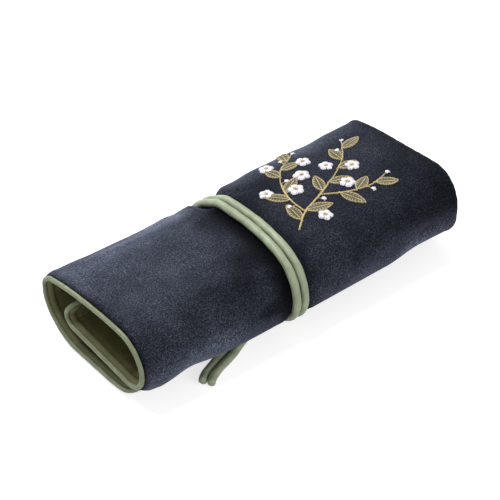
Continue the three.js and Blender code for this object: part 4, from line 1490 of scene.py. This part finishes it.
def embroider():
    curves = {name: smooth_line(points, 0.5) for name, points in STEMS.items()}
    gold, olive, white, knots = [], [], [], []

    def at(name, share):
        curve = curves[name]
        i = min(int(share * (len(curve) - 1)), len(curve) - 2)
        ahead = curve[i + 1] - curve[i]
        return curve[i], math.atan2(ahead[1], ahead[0])

    for curve in curves.values():
        gold += stem_stitches(curve)
        gold += stem_stitches(curve[: len(curve) // 2] + (0.3, -0.3), 1.9)
    for name, share, side in LEAVES:
        base, heading = at(name, share)
        length = LEAF_LENGTH + 2 * math.sin(7 * share)
        fill, outline = leaf(base, heading + side * LEAF_ANGLE, length, LEAF_WIDTH)
        olive += fill
        gold += outline
    for k, (centre, size) in enumerate(BLOSSOMS):
        petals, middle = blossom(centre, size, 0.7 * k)
        white += petals
        knots += middle
    for name, share, turn in BUDS:
        base, heading = at(name, share)
        stalk = base + arrow(heading + turn, BUD_STALK)
        petals, sepals = bud(stalk, heading + turn, BUD_SIZE)
        white += petals
        olive += sepals
        gold += stem_stitches([base, stalk])
    sew("embroidered_leaves", stitches(olive, 0.3, 0.15), THREAD, leaf_thread, "core")
    sew("embroidered_stems", stitches(gold, 0.5, 0.12), 0.85 * THREAD, gold_thread, "core")
    sew("embroidered_blossoms", stitches(white, 0.6, 0.22), THREAD, white_thread, "core")
    sew("embroidered_knots", stitches(knots, 1.0, 0.1), THREAD, gold_thread, "core")


embroider()

# Stage: camera at the photograph's place, pale floor, softboxes and room light
VIEW_AZIMUTH = math.radians(-38.8)
VIEW_ELEVATION = math.radians(37.8)
VIEW_DISTANCE = 1.06
VIEW_TARGET = (0.0048, 0.010, 0.020)  # in metres, as is the distance
FOCAL_LENGTH = 129.6
SENSOR_WIDTH = 36
FLOOR_HALF = 3000
FLOOR_WHITE = 0.72
ROOM_LIGHT = 0.34

# Name, place and size in metres, and watts
SOFTBOXES = [
    ("key_softbox", (-0.2, 0.5, 1.22), 0.6, 17),
    ("back_softbox", (0.25, 1.1, 0.6), 0.8, 5),
    ("front_softbox", (0.2, -1.15, 0.4), 0.7, 7),
    ("left_softbox", (-1.15, -0.3, 0.42), 0.5, 1.8),
]


def aim(thing, place, target):
    thing.location = place
    thing.rotation_euler = (Vector(target) - Vector(place)).to_track_quat("-Z", "Y").to_euler()


def place_camera():
    level = math.cos(VIEW_ELEVATION)
    back = Vector((math.sin(VIEW_AZIMUTH) * level, -math.cos(VIEW_AZIMUTH) * level, math.sin(VIEW_ELEVATION)))
    lens = bpy.data.cameras.new("photo_camera")
    lens.lens = FOCAL_LENGTH
    lens.sensor_width = SENSOR_WIDTH
    lens.clip_start = 0.01
    camera = new_object("photo_camera", lens)
    aim(camera, Vector(VIEW_TARGET) + VIEW_DISTANCE * back, VIEW_TARGET)
    bpy.context.scene.camera = camera


def seen_directly(tree):
    """1 for rays from the camera and from shiny surfaces, 0 for the light that falls on the roll."""
    seen = add_node(tree, "ShaderNodeLightPath").outputs
    rays = {0: seen["Is Camera Ray"], 1: seen["Is Glossy Ray"]}
    return add_node(tree, "ShaderNodeMath", rays, operation="MAXIMUM").outputs[0]


def make_floor():
    """Pale floor that looks white and still takes the shadow, but gives the roll little light from below."""
    material, tree, shader = new_material("pale_floor", Roughness=0.9, Base_Color=srgb("#c4c4c4"))
    tree.links.new(seen_directly(tree), shader.inputs["Emission Strength"])
    shader.inputs["Emission Color"].default_value = (FLOOR_WHITE, FLOOR_WHITE, FLOOR_WHITE, 1)
    corners = [(FLOOR_HALF * x, FLOOR_HALF * y, 0) for x, y in ((-1, -1), (1, -1), (1, 1), (-1, 1))]
    make_object("floor", corners, [(0, 1, 2, 3)], material)


def add_softbox(name, place, size, power):
    lamp = bpy.data.lights.new(name, "AREA")
    lamp.size = size
    lamp.energy = power
    aim(new_object(name, lamp), place, (0, 0, 0))


def light_room():
    """Even light that looks white behind the floor and in shiny surfaces but lights the roll softly."""
    world = bpy.data.worlds.new("studio")
    bpy.context.scene.world = world
    world.use_nodes = True
    tree = world.node_tree
    rise = {0: seen_directly(tree), 1: 1 - ROOM_LIGHT, 2: ROOM_LIGHT}
    strength = add_node(tree, "ShaderNodeMath", rise, operation="MULTIPLY_ADD").outputs[0]
    background = tree.nodes["Background"]
    background.inputs["Color"].default_value = (1, 1, 1, 1)
    tree.links.new(strength, background.inputs["Strength"])


def finish_plain_nodes():
    """Nodes that are shown as they are get the material of their slot."""
    slots = {part["node"]: part["material_slot"] for part in frame["record"]["subparts"]}
    for name, node in frame["nodes"].items():
        for place in node.material_slots:
            place.material = FINISHES[slots[name]]


place_camera()
make_floor()
for softbox in SOFTBOXES:
    add_softbox(*softbox)
light_room()
bpy.context.scene.view_settings.view_transform = "Standard"
finish_plain_nodes()
